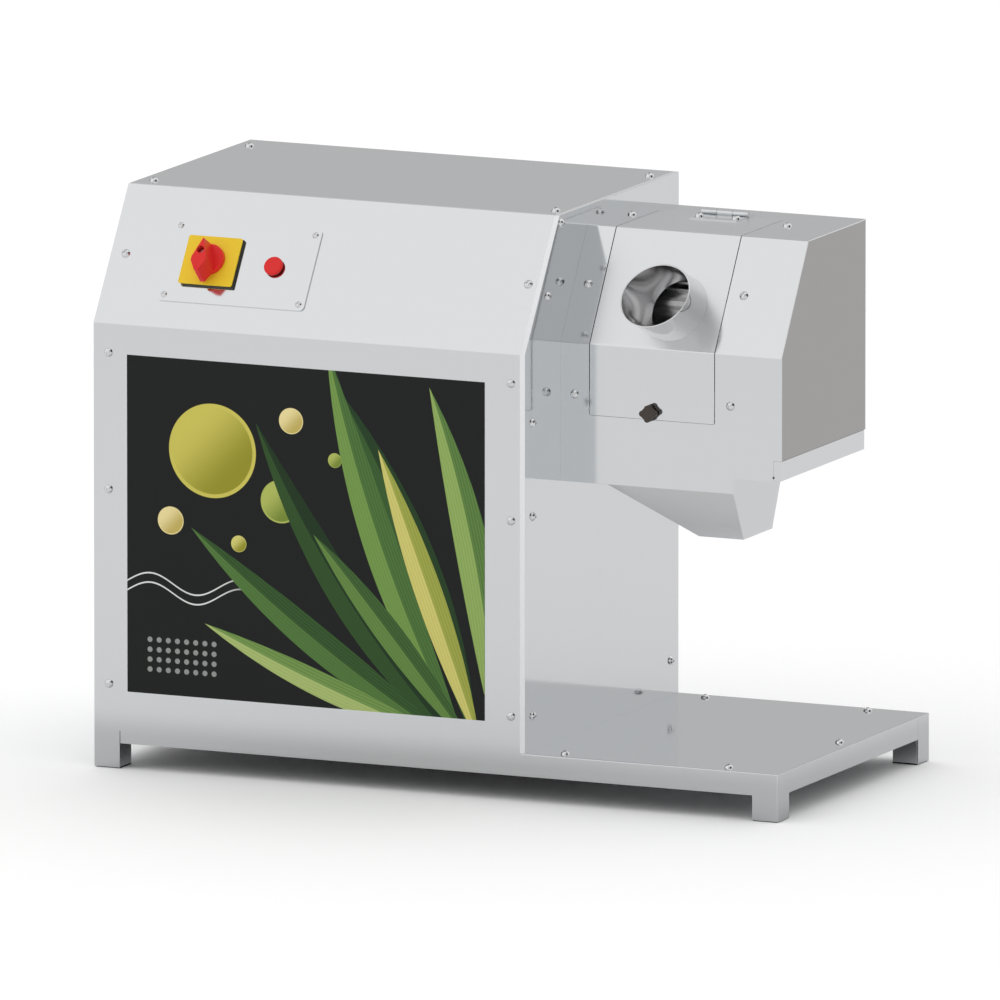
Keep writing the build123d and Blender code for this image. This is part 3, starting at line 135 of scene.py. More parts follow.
class Graph:
    """A node graph that is written as expressions."""

    def __init__(self, tree: bpy.types.NodeTree) -> None:
        """Empties a node tree and takes it over.

        Args:
            tree: The tree of a material or of the world.
        """
        self.tree = tree
        tree.nodes.clear()

    def add(
        self,
        kind: str,
        settings: dict[str, Any] | None = None,
        inputs: dict[Any, Any] | None = None,
        output: Any = 0,
    ) -> Value:
        """Adds a node, sets it up and feeds its sockets.

        Args:
            kind: Blender's name of the node's type.
            settings: Properties of the node, set before its sockets are fed.
            inputs: Numbers, colours or values by the socket's name or place.
            output: Name or place of the socket that is returned.

        Returns:
            The chosen output.
        """
        node = self.tree.nodes.new(kind)
        for name, setting in (settings or {}).items():
            setattr(node, name, setting)
        for name, value in (inputs or {}).items():
            self.feed(node.inputs[name], value)
        return Value(self, node.outputs[output])

    def feed(self, socket: bpy.types.NodeSocket, value: Any) -> None:
        """Links a value to a socket, or sets a plain number or colour on it."""
        if isinstance(value, Value):
            self.tree.links.new(value.socket, socket)
        else:
            socket.default_value = value

    def math(self, operation: str, *values: Number) -> Value:
        """Adds a Math node over one or two values."""
        return self.add("ShaderNodeMath", {"operation": operation}, dict(enumerate(values)))

    def smooth(self, value: Value, low: float, high: float) -> Value:
        """Soft step from 0 at the low value to 1 at the high value."""
        return self.add(
            "ShaderNodeMapRange",
            {"interpolation_type": "SMOOTHSTEP"},
            {"Value": value, "From Min": low, "From Max": high},
        )

    def blend(self, share: Number, low: Any, high: Any) -> Value:
        """Mix of two colours, which is the high one where the share is 1."""
        return self.add("ShaderNodeMix", {"data_type": "RGBA"}, {0: share, 6: low, 7: high}, 2)


class MaterialGraph(Graph):
    """Node graph of a material that ends in one Principled shader."""

    def __init__(self, name: str) -> None:
        """Makes the material with its shader and its coordinates.

        Args:
            name: Name of the material.
        """
        self.material = bpy.data.materials.new(name)
        self.material.use_nodes = True
        super().__init__(self.material.node_tree)
        sheet = self.tree.nodes.new("ShaderNodeOutputMaterial")
        self.shader = self.tree.nodes.new("ShaderNodeBsdfPrincipled")
        self.tree.links.new(self.shader.outputs[0], sheet.inputs[0])
        self.place = self.add("ShaderNodeTexCoord", output="Object")

    def finish(self, **inputs: Any) -> None:
        """Feeds the shader's sockets, named with underscores for spaces."""
        for name, value in inputs.items():
            self.feed(self.shader.inputs[name.replace("_", " ")], value)

    def axes(self) -> list[Value]:
        """The three object coordinates as values."""
        split = self.tree.nodes.new("ShaderNodeSeparateXYZ")
        self.feed(split.inputs[0], self.place)
        return [Value(self, output) for output in split.outputs]

    def noise(self, scale: Triple, detail: float = 2.0) -> Value:
        """Soft noise about 0.5, with its own scale along each axis.

        Args:
            scale: Waves per metre along X, Y and Z.
            detail: Octaves of finer noise.

        Returns:
            The noise.
        """
        stretched = self.add("ShaderNodeMapping", inputs={"Vector": self.place, "Scale": scale})
        return self.add("ShaderNodeTexNoise", inputs={"Vector": stretched, "Scale": 1.0, "Detail": detail})

    def bump(self, height: Value, depth: float, strength: float = 1.0) -> Value:
        """Normal of a surface that a height raises by a depth in metres."""
        return self.add("ShaderNodeBump", inputs={"Height": height, "Distance": depth, "Strength": strength})


class Grain(Enum):
    """Direction of the brushing on a sheet, as waves per metre along each axis."""

    ALONG_X = (6.0, 1400.0, 1400.0)
    ALONG_Y = (1400.0, 6.0, 1400.0)
    ALONG_Z = (1400.0, 1400.0, 6.0)


@dataclass(frozen=True)
class Finish:
    """A surface finish, known by the record's material slot."""

    slot: str
    name: str

    def material(self) -> bpy.types.Material:
        """The finish's material, made once."""
        return bpy.data.materials.get(self.name) or self.make(MaterialGraph(self.name))

    def make(self, graph: MaterialGraph) -> bpy.types.Material:
        """Builds the finish in a new graph."""
        raise NotImplementedError


@dataclass(frozen=True)
class SheetSteel(Finish):
    """Brushed stainless sheet with faint smears of handling."""

    tone: tuple[int, int, int] = (221, 223, 225)
    roughness: float = 0.1
    grain: Grain = Grain.ALONG_X
    streak: float = 0.03
    smear: float = 0.03
    smear_scale: float = 7.0
    brush_depth: float = 0.00001
    brush_strength: float = 0.3
    # Painted shade: share of light the sheet loses near the floor, in place of the mirrored shadow on the floor.
    painted_foot_shade: float = 0.0
    foot_height: float = 0.066
    cut_edge: float = 0.0
    edge_depth: float = 0.0004
    edge_tone: tuple[int, int, int] = (234, 235, 237)
    duller: float = 0.0
    duller_from: float = 0.470
    duller_all: float = 0.474

    def make(self, graph: MaterialGraph) -> bpy.types.Material:
        """Builds the brushed steel, with painted shade near the floor (for the mirrored shadow on the floor), duller
        cut edges or a duller slope if asked for.
        """
        streaks = graph.noise(self.grain.value, 3.0)
        smears = graph.noise((self.smear_scale,) * 3, 3.0)
        colour = shade(*self.tone)
        sheet = graph.blend(streaks, darker(colour, self.streak), colour)
        # Painted shade: the colour darkens towards the floor, standing in for the reflection of the shadow on the
        # floor.
        if self.painted_foot_shade:
            low = 1 - graph.smooth(graph.axes()[2], self.foot_height / 2, self.foot_height)
            sheet = graph.blend(low, sheet, darker(colour, self.painted_foot_shade))
        roughness = self.roughness + (streaks - 0.5) * self.streak + (smears - 0.5) * self.smear
        if self.cut_edge:
            _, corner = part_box("side_plate")
            edge = 1 - graph.smooth(graph.axes()[0], corner.x - self.edge_depth, corner.x)
            sheet = graph.blend(edge, sheet, shade(*self.edge_tone))
            roughness = roughness + edge * self.cut_edge
        if self.duller:
            roughness = roughness + graph.smooth(graph.axes()[2], self.duller_from, self.duller_all) * self.duller
        graph.finish(
            Base_Color=sheet,
            Metallic=1.0,
            Roughness=roughness,
            Normal=graph.bump(streaks, self.brush_depth, self.brush_strength),
        )
        return graph.material


@dataclass(frozen=True)
class BrightSteel(Finish):
    """Polished or turned metal with fine marks round it."""

    tone: tuple[int, int, int] = (222, 222, 222)
    roughness: float = 0.08
    marks: float = 0.04
    mark_scale: float = 900.0
    cloud_scale: float = 30.0
    fade: float = 0.1
    ripple: float = 0.15
    ripple_depth: float = 0.00001

    def make(self, graph: MaterialGraph) -> bpy.types.Material:
        """Builds the bright metal."""
        marks = graph.noise((self.mark_scale,) * 3)
        cloud = graph.noise((self.cloud_scale,) * 3)
        colour = shade(*self.tone)
        graph.finish(
            Base_Color=graph.blend(cloud, darker(colour, self.fade), colour),
            Metallic=1.0,
            Roughness=self.roughness + marks * self.marks + cloud * self.marks,
        )
        if self.ripple:
            graph.finish(Normal=graph.bump(marks, self.ripple_depth, self.ripple))
        return graph.material


@dataclass(frozen=True)
class Moulded(Finish):
    """Moulded plastic or rubber with a fine eroded grain."""

    tone: tuple[int, int, int] = (30, 30, 30)
    roughness: float = 0.45
    grain_scale: float = 1500.0
    grain_depth: float = 0.00004
    grain_strength: float = 0.25
    cloud_scale: float = 45.0
    uneven: float = 0.1
    fade: float = 0.12
    gloss: float = 0.5

    def make(self, graph: MaterialGraph) -> bpy.types.Material:
        """Builds the plastic."""
        grain = graph.noise((self.grain_scale,) * 3, 1.0)
        cloud = graph.noise((self.cloud_scale,) * 3, 3.0)
        colour = shade(*self.tone)
        graph.finish(
            Base_Color=graph.blend(cloud, darker(colour, self.fade), colour),
            Roughness=self.roughness + (cloud - 0.5) * self.uneven + (grain - 0.5) * self.uneven,
            Specular_IOR_Level=self.gloss,
            Normal=graph.bump(grain, self.grain_depth, self.grain_strength),
        )
        return graph.material


@dataclass(frozen=True)
class CoatedMetal(Finish):
    """Painted or primed metal with an orange-peel skin and small bare flecks."""

    tone: tuple[int, int, int] = (90, 92, 94)
    roughness: float = 0.5
    uneven: float = 0.2
    skin_scale: float = 260.0
    skin_depth: float = 0.00008
    skin_strength: float = 0.35
    cloud_scale: float = 18.0
    fade: float = 0.25
    fleck_scale: float = 120.0
    fleck_from: float = 0.72
    fleck_all: float = 0.76
    fleck_tone: tuple[int, int, int] = (150, 148, 144)
    fleck_metal: float = 0.9

    def make(self, graph: MaterialGraph) -> bpy.types.Material:
        """Builds the coat of paint."""
        skin = graph.noise((self.skin_scale,) * 3)
        cloud = graph.noise((self.cloud_scale,) * 3, 3.0)
        flecks = graph.smooth(graph.noise((self.fleck_scale,) * 3, 4.0), self.fleck_from, self.fleck_all)
        colour = shade(*self.tone)
        paint = graph.blend(cloud, darker(colour, self.fade), colour)
        graph.finish(
            Base_Color=graph.blend(flecks, paint, shade(*self.fleck_tone)),
            Metallic=flecks * self.fleck_metal,
            Roughness=self.roughness + (cloud - 0.5) * self.uneven,
            Normal=graph.bump(skin, self.skin_depth, self.skin_strength),
        )
        return graph.material


@dataclass(frozen=True)
class Blade:
    """One long leaf of the printed design, placed from the print's lower left corner."""

    root: tuple[float, float]
    lean: float
    length: float
    width: float
    curl: float
    dark: tuple[int, int, int]
    light: tuple[int, int, int]


@dataclass(frozen=True)
class Disc:
    """One round drop of the printed design."""

    middle: tuple[float, float]
    radius: float
    low: tuple[int, int, int]
    high: tuple[int, int, int]


BLADES = (
    Blade((0.385, -0.035), 137.0, 0.40, 0.019, -0.50, (30, 52, 31), (52, 84, 42)),
    Blade((0.400, -0.030), 104.0, 0.40, 0.021, 0.42, (34, 60, 34), (60, 96, 48)),
    Blade((0.380, -0.030), 152.0, 0.37, 0.018, -0.30, (48, 80, 40), (86, 124, 62)),
    Blade((0.390, -0.035), 120.0, 0.44, 0.020, -0.35, (70, 108, 54), (120, 156, 78)),
    Blade((0.420, -0.020), 92.0, 0.37, 0.020, 0.45, (82, 120, 60), (150, 178, 98)),
    Blade((0.370, -0.025), 164.0, 0.30, 0.014, -0.25, (104, 142, 70), (176, 194, 118)),
    Blade((0.405, -0.030), 110.0, 0.33, 0.016, 0.05, (150, 160, 66), (214, 206, 118)),
    Blade((0.395, -0.030), 129.0, 0.28, 0.015, 0.10, (56, 90, 46), (104, 140, 70)),
)
DISCS = (
    Disc((0.098, 0.262), 0.050, (150, 146, 44), (206, 196, 92)),
    Disc((0.176, 0.214), 0.023, (120, 140, 54), (178, 188, 96)),
    Disc((0.188, 0.300), 0.014, (196, 176, 96), (236, 220, 158)),
    Disc((0.050, 0.185), 0.015, (196, 176, 96), (236, 220, 158)),
    Disc((0.128, 0.166), 0.009, (150, 146, 44), (214, 206, 118)),
    Disc((0.238, 0.262), 0.008, (120, 140, 54), (178, 188, 96)),
)


@dataclass(frozen=True)
class LeafPrint(Finish):
    """Printed sheet: leaves, drops, two waves and a grid of dots on a dark field."""

    ground: tuple[int, int, int] = (30, 32, 31)
    ground_fade: float = 0.18
    paper: tuple[int, int, int] = (226, 228, 226)
    roughness: float = 0.42
    gloss: float = 0.15
    uneven: float = 0.1
    tint_scale: float = 9.0
    screen_scale: float = 2600.0
    screen_depth: float = 0.00002
    screen_strength: float = 0.2
    line: float = 0.0005
    wave_heights: tuple[float, float] = (0.108, 0.118)
    wave_swing: float = 0.010
    wave_pitch: float = 0.105
    wave_width: float = 0.0011
    wave_end: float = 0.16
    wave_fade: float = 0.06
    dot_tone: tuple[int, int, int] = (150, 152, 150)
    dots_from: tuple[float, float] = (0.026, 0.026)
    dot_pitch: float = 0.0105
    dot_radius: float = 0.0026
    dot_counts: tuple[int, int] = (8, 4)
    disc_rim: tuple[float, float] = (0.90, 0.93)
    fold_half: float = 0.0008
    fold_share: float = 0.8
    fold_base: float = 0.1
    vein_waves: float = 1900.0
    vein_share: float = 0.12
    rib_half: float = 0.0006
    rib_share: float = 0.7

    def make(self, graph: MaterialGraph) -> bpy.types.Material:
        """Builds the print in the plane of the front."""
        low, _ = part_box("graphic_panel")
        x, _, z = graph.axes()
        across, up = x - low.x, z - low.z
        tint = graph.noise((self.tint_scale,) * 3)
        ink = shade(*self.ground)
        colour = graph.blend(tint, darker(ink, self.ground_fade), ink)
        colour = self.waves(graph, colour, across, up)
        colour = self.dots(graph, colour, across, up)
        for disc in DISCS:
            colour = self.disc(graph, colour, disc, across, up)
        for blade in BLADES:
            colour = self.blade(graph, colour, blade, across, up)
        screen = graph.noise((self.screen_scale,) * 3, 1.0)
        graph.finish(
            Base_Color=colour,
            Roughness=self.roughness + (tint - 0.5) * self.uneven,
            Specular_IOR_Level=self.gloss,
            Normal=graph.bump(screen, self.screen_depth, self.screen_strength),
        )
        return graph.material

    def waves(self, graph: MaterialGraph, colour: Value, across: Value, up: Value) -> Value:
        """Lays two thin wave lines over a colour."""
        swing = graph.math("SINE", across * (2 * math.pi / self.wave_pitch)) * self.wave_swing
        end = 1 - graph.smooth(across, self.wave_end - self.wave_fade, self.wave_end)
        for height in self.wave_heights:
            line = 1 - graph.smooth(abs(up - height - swing), self.wave_width / 2, self.wave_width / 2 + self.line)
            colour = graph.blend(line * end, colour, shade(*self.paper))
        return colour

    def dots(self, graph: MaterialGraph, colour: Value, across: Value, up: Value) -> Value:
        """Lays a grid of pale dots over a colour."""
        steps = []
        inside = 1.0
        for place, start, count in zip((across, up), self.dots_from, self.dot_counts):
            run = place - (start - self.dot_pitch / 2)
            steps.append(graph.math("PINGPONG", run + self.dot_pitch / 2, self.dot_pitch / 2))
            inside = graph.math("GREATER_THAN", run, 0.0) * inside
            inside = graph.math("LESS_THAN", run, count * self.dot_pitch) * inside
        distance = graph.math("SQRT", steps[0] * steps[0] + steps[1] * steps[1])
        dot = 1 - graph.smooth(distance, self.dot_radius, self.dot_radius + self.line)
        return graph.blend(dot * inside, colour, shade(*self.dot_tone))

    def disc(self, graph: MaterialGraph, colour: Value, disc: Disc, across: Value, up: Value) -> Value:
        """Lays one drop over a colour, lighter towards its upper left."""
        dx, dz = across - disc.middle[0], up - disc.middle[1]
        distance = graph.math("SQRT", dx * dx + dz * dz)
        fill = 1 - graph.smooth(distance, disc.radius - self.line, disc.radius)
        lift = graph.smooth(dz - dx, -disc.radius, disc.radius)
        rim = graph.smooth(distance, *(disc.radius * share for share in self.disc_rim))
        face = graph.blend(rim, graph.blend(lift, shade(*disc.low), shade(*disc.high)), shade(*disc.high))
        return graph.blend(fill, colour, face)

    def blade(self, graph: MaterialGraph, colour: Value, blade: Blade, across: Value, up: Value) -> Value:
        """Lays one leaf over a colour, with a dark half, a light half, veins and a pale rib."""
        turn = math.radians(blade.lean)
        dx, dz = across - blade.root[0], up - blade.root[1]
        along = dx * math.cos(turn) + dz * math.sin(turn)
        aside = dz * math.cos(turn) - dx * math.sin(turn) - along * along * blade.curl
        share = along / blade.length
        half = share * (1 - share) * (4 * blade.width)
        mask = graph.smooth(half - abs(aside), 0.0, self.line)
        fold = graph.smooth(aside, -self.fold_half, self.fold_half)
        veins = graph.math("SINE", aside * self.vein_waves) * self.vein_share
        rib = 1 - graph.smooth(abs(aside), self.rib_half, self.rib_half + self.line)
        half_tone = fold * self.fold_share + veins + self.fold_base
        face = graph.blend(half_tone, shade(*blade.dark), shade(*blade.light))
        return graph.blend(mask, colour, graph.blend(rib * self.rib_share, face, shade(*blade.light)))


# The front sheets carry painted shade near the floor.
FRONT_SHEET = SheetSteel("satin_steel", "satin_front_sheet", roughness=0.15, painted_foot_shade=0.22)
SATIN = SheetSteel("satin_steel", "satin_sheet")
DOOR_SHEET = SheetSteel("satin_steel", "satin_door", duller=0.16)
FUNNEL_SHEET = SheetSteel("satin_steel", "satin_funnel", tone=(217, 218, 220), roughness=0.2)
SATIN_UPRIGHT = SheetSteel("satin_steel", "satin_sheet_upright", grain=Grain.ALONG_Z)
TOP_SHEET = SheetSteel("satin_steel", "satin_top_sheet", roughness=0.08)
SIDE_PLATE = SheetSteel("satin_steel", "smooth_side_plate", roughness=0.07, grain=Grain.ALONG_Z, cut_edge=0.4)
SIDE_SHEET = SheetSteel("satin_steel", "smooth_inner_plate", roughness=0.11, grain=Grain.ALONG_Z)
END_SHEET = SheetSteel("end_steel", "warm_end_sheet", tone=(169, 167, 165), roughness=0.3, grain=Grain.ALONG_Y)
DECK_SHEET = SheetSteel("deck_steel", "smooth_deck", roughness=0.08)
HINGE_STEEL = BrightSteel("satin_steel", "hinge_leaf", tone=(221, 223, 225), roughness=0.1, ripple=0.0)
POLISHED = BrightSteel(
    "polished_steel", "polished_tube", tone=(228, 228, 229), roughness=0.02, marks=0.015, fade=0.03, ripple=0.0)
BORE = BrightSteel(
    "polished_steel", "drawn_bore", tone=(238, 238, 239), roughness=0.13, marks=0.03, fade=0.05, ripple=0.0)
SCREW = BrightSteel("screw_steel", "bright_screw", tone=(226, 227, 228), roughness=0.05, ripple=0.0)
ROLLER = BrightSteel("roller_steel", "turned_roller", tone=(224, 224, 224), roughness=0.2, marks=0.1)
GEAR = BrightSteel("gear_steel", "oiled_gear", tone=(156, 156, 158), roughness=0.22, marks=0.12)
BRONZE = BrightSteel("bronze", "turned_bronze", tone=(188, 154, 104), roughness=0.2, marks=0.1)
FRAME_PRIMER = CoatedMetal("frame_steel", "frame_primer", tone=(148, 150, 152))
MOTOR_PAINT = CoatedMetal("motor_paint", "motor_enamel", tone=(97, 111, 124), roughness=0.35)
IRON_PAINT = CoatedMetal("iron", "gearbox_enamel", tone=(111, 114, 114), roughness=0.45)
BLACK = Moulded("black_plastic", "black_moulding", tone=(32, 31, 30), roughness=0.5)
YELLOW = Moulded("yellow_plastic", "yellow_moulding", tone=(241, 206, 50), roughness=0.4, fade=0.06, gloss=0.2)
RED = Moulded("red_plastic", "red_moulding", tone=(226, 42, 40), roughness=0.35, fade=0.08, gloss=0.25)
KNOB = Moulded("knob_plastic", "knob_moulding", tone=(74, 67, 62), roughness=0.55, gloss=0.25)
GLIDE = Moulded("glide_rubber", "glide_rubber", tone=(38, 37, 36), roughness=0.7)
BELT = Moulded("belt_rubber", "belt_rubber", tone=(44, 43, 42), roughness=0.75)
PRINT = LeafPrint("print", "leaf_print")


class Part(Enum):
    """What a selection in edit mode takes."""

    FACES = "faces"
    EDGES = "edges"
    POINTS = "verts"


class Bench:
    """Hand tools that work on one piece at a time."""

    @staticmethod
    def clear() -> None:
        """Leaves edit mode and selects nothing."""
        if bpy.context.object and bpy.context.object.mode != "OBJECT":
            bpy.ops.object.mode_set(mode="OBJECT")
        bpy.ops.object.select_all(action="DESELECT")

    @classmethod
    def take(cls, piece: bpy.types.Object) -> None:
        """Selects one piece and makes it the active one."""
        cls.clear()
        piece.select_set(True)
        bpy.context.view_layer.objects.active = piece

    @classmethod
    def cylinder(cls, name: str, radius: float, low: float, high: float, sides: int) -> bpy.types.Object:
        """Starts a piece from a cylinder along Z.

        Args:
            name: Name of the piece.
            radius: Radius of the cylinder.
            low: Height of its lower end.
            high: Height of its upper end.
            sides: Number of sides.

        Returns:
            The new piece.
        """
        cls.clear()
        bpy.ops.mesh.primitive_cylinder_add(
            vertices=sides, radius=radius, depth=high - low, location=(0, 0, (low + high) / 2))
        piece = bpy.context.object
        piece.name = name
        piece.data.name = name
        bpy.ops.object.transform_apply(location=True, rotation=True, scale=True)
        return piece

    @classmethod
    def bar(cls, name: str, size: Triple, middle: Triple) -> bpy.types.Object:
        """Starts a square-edged bar of a size about its middle."""
        cls.clear()
        bpy.ops.mesh.primitive_cube_add(size=1, location=middle)
        piece = bpy.context.object
        piece.name = name
        piece.scale = size
        bpy.ops.object.transform_apply(location=True, rotation=True, scale=True)
        return piece

    @classmethod
    def edit(cls, piece: bpy.types.Object) -> None:
        """Opens a piece in edit mode with nothing selected."""
        cls.take(piece)
        bpy.ops.object.mode_set(mode="EDIT")
        bpy.ops.mesh.select_mode(type="VERT")
        bpy.ops.mesh.select_all(action="DESELECT")

    @staticmethod
    def pick(piece: bpy.types.Object, part: Part, test: Callable[[Any], bool]) -> None:
        """Selects what passes a test, in edit mode.

        Args:
            piece: The piece in edit mode.
            part: Faces, edges or points.
            test: Says whether an element is taken.
        """
        bpy.ops.mesh.select_mode(type={"faces": "FACE", "edges": "EDGE", "verts": "VERT"}[part.value])
        bpy.ops.mesh.select_all(action="DESELECT")
        mesh = bmesh.from_edit_mesh(piece.data)
        for element in getattr(mesh, part.value):
            if test(element):
                element.select_set(True)
        mesh.select_flush_mode()
        bmesh.update_edit_mesh(piece.data)

    @classmethod
    def modify(cls, piece: bpy.types.Object, kind: str, **settings: Any) -> None:
        """Adds a modifier to a piece and applies it."""
        cls.take(piece)
        modifier = piece.modifiers.new(kind.title(), kind)
        for name, setting in settings.items():
            setattr(modifier, name, setting)
        bpy.ops.object.modifier_apply(modifier=modifier.name)

    @classmethod
    def combine(cls, piece: bpy.types.Object, tool: bpy.types.Object, operation: str) -> None:
        """Cuts a tool from a piece, or joins it on, and puts the tool away."""
        cls.modify(piece, "BOOLEAN", operation=operation, object=tool, solver="EXACT")
        bpy.data.objects.remove(tool)

    @classmethod
    def settle(cls, piece: bpy.types.Object, place: Matrix, angle: float = 35.0) -> None:
        """Puts a piece in its place in the frame, with clean points, outward faces and smooth rounds.

        Args:
            piece: The piece as it was modelled at the origin.
            place: Where it goes.
            angle: Edges sharper than this many degrees stay sharp.
        """
        cls.take(piece)
        piece.matrix_world = place
        bpy.ops.object.transform_apply(location=True, rotation=True, scale=True)
        cls.edit(piece)
        bpy.ops.mesh.select_all(action="SELECT")
        bpy.ops.mesh.remove_doubles(threshold=SAME_POINT)
        bpy.ops.mesh.normals_make_consistent(inside=False)
        cls.take(piece)
        bpy.ops.object.shade_smooth_by_angle(angle=math.radians(angle))
        cls.modify(piece, "WEIGHTED_NORMAL", keep_sharp=True)

    @staticmethod
    def coat(piece: bpy.types.Object, *finishes: Finish) -> None:
        """Gives a piece its finishes, the first one for all of its faces."""
        for finish in finishes:
            piece.data.materials.append(finish.material())

    @classmethod
    def hand_over(cls, piece: bpy.types.Object, finish: Finish, body: str, node: str = "") -> None:
        """Dresses a finished piece and lets it ride, in place of a solid where one is named.

        Args:
            piece: The finished piece.
            finish: Its finish.
            body: The moving body that it rides on.
            node: The solid that it replaces, if any.
        """
        if not piece.data.materials:
            cls.coat(piece, finish)
        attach(piece, body)
        if node:
            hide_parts(node)
        log.info("%s: %d faces on %s", piece.name, len(piece.data.polygons), body)


def on_plane(origin: Vector, outward: Vector) -> Matrix:
    """Place whose X runs along the machine and whose Z points outwards.

    Args:
        origin: Where the piece's own origin goes.
        outward: Direction of the piece's own Z.

    Returns:
        The matrix of the place.
    """
    z_axis = outward.normalized()
    x_axis = Vector((1, 0, 0))
    y_axis = z_axis.cross(x_axis)
    turn = Matrix((x_axis, y_axis, z_axis)).transposed()
    return Matrix.Translation(origin) @ turn.to_4x4()


def joint(name: str) -> dict[str, Any]:
    """The record's entry of a joint."""
    return next(entry for entry in frame["joints"] if entry["name"] == name)


def dress(node: str, finish: Finish, edge: float = 0.0) -> None:
    """Gives a solid its finish and, where an edge is given, softly broken edges.

    Args:
        node: Name of the solid.
        finish: Its finish.
        edge: Width of the broken edges in metres, or 0.
    """
    piece = frame["nodes"][node]
    for slot in piece.material_slots:
        slot.material = finish.material()
    if edge:
        weld = piece.modifiers.new("weld", "WELD")
        weld.merge_threshold = SAME_CORNER
        flats = piece.modifiers.new("whole_faces", "DECIMATE")
        flats.decimate_type = "DISSOLVE"
        flats.angle_limit = FLAT_ANGLE
        bevel = piece.modifiers.new("broken_edge", "BEVEL")
        bevel.width = edge
        bevel.segments = EDGE_SEGMENTS
        bevel.limit_method = "ANGLE"
        bevel.angle_limit = EDGE_ANGLE
        bevel.use_clamp_overlap = True
        normals = piece.modifiers.new("even_shading", "WEIGHTED_NORMAL")
        normals.keep_sharp = False
    log.info("%s: %s", node, finish.name)


@dataclass
class Cabinet:
    """The sheet-metal cabinet with its base, deck and print."""

    sheet_edge: float = 0.0004
    plate_edge: float = 0.0006

    def dress(self) -> None:
        """Dresses the cabinet's solids."""
        for node in ("front_panel", "rear_panel", "right_skirt"):
            dress(node, FRONT_SHEET, self.sheet_edge)
        for node in ("left_panel", "leg_posts"):
            dress(node, SATIN_UPRIGHT, self.sheet_edge)
        dress("top_cover", TOP_SHEET, self.sheet_edge)
        dress("side_plate", SIDE_PLATE, self.plate_edge)
        dress("deck_plate", DECK_SHEET, self.sheet_edge)
        for node in ("side_plate_frame", "floor_plate", "long_beams", "cross_beams"):
            dress(node, FRAME_PRIMER)
        dress("foot_glides", GLIDE, self.sheet_edge)
        dress("graphic_panel", PRINT)
        dress("panel_screws", SCREW)
        dress("cable_gland", BLACK, self.sheet_edge)


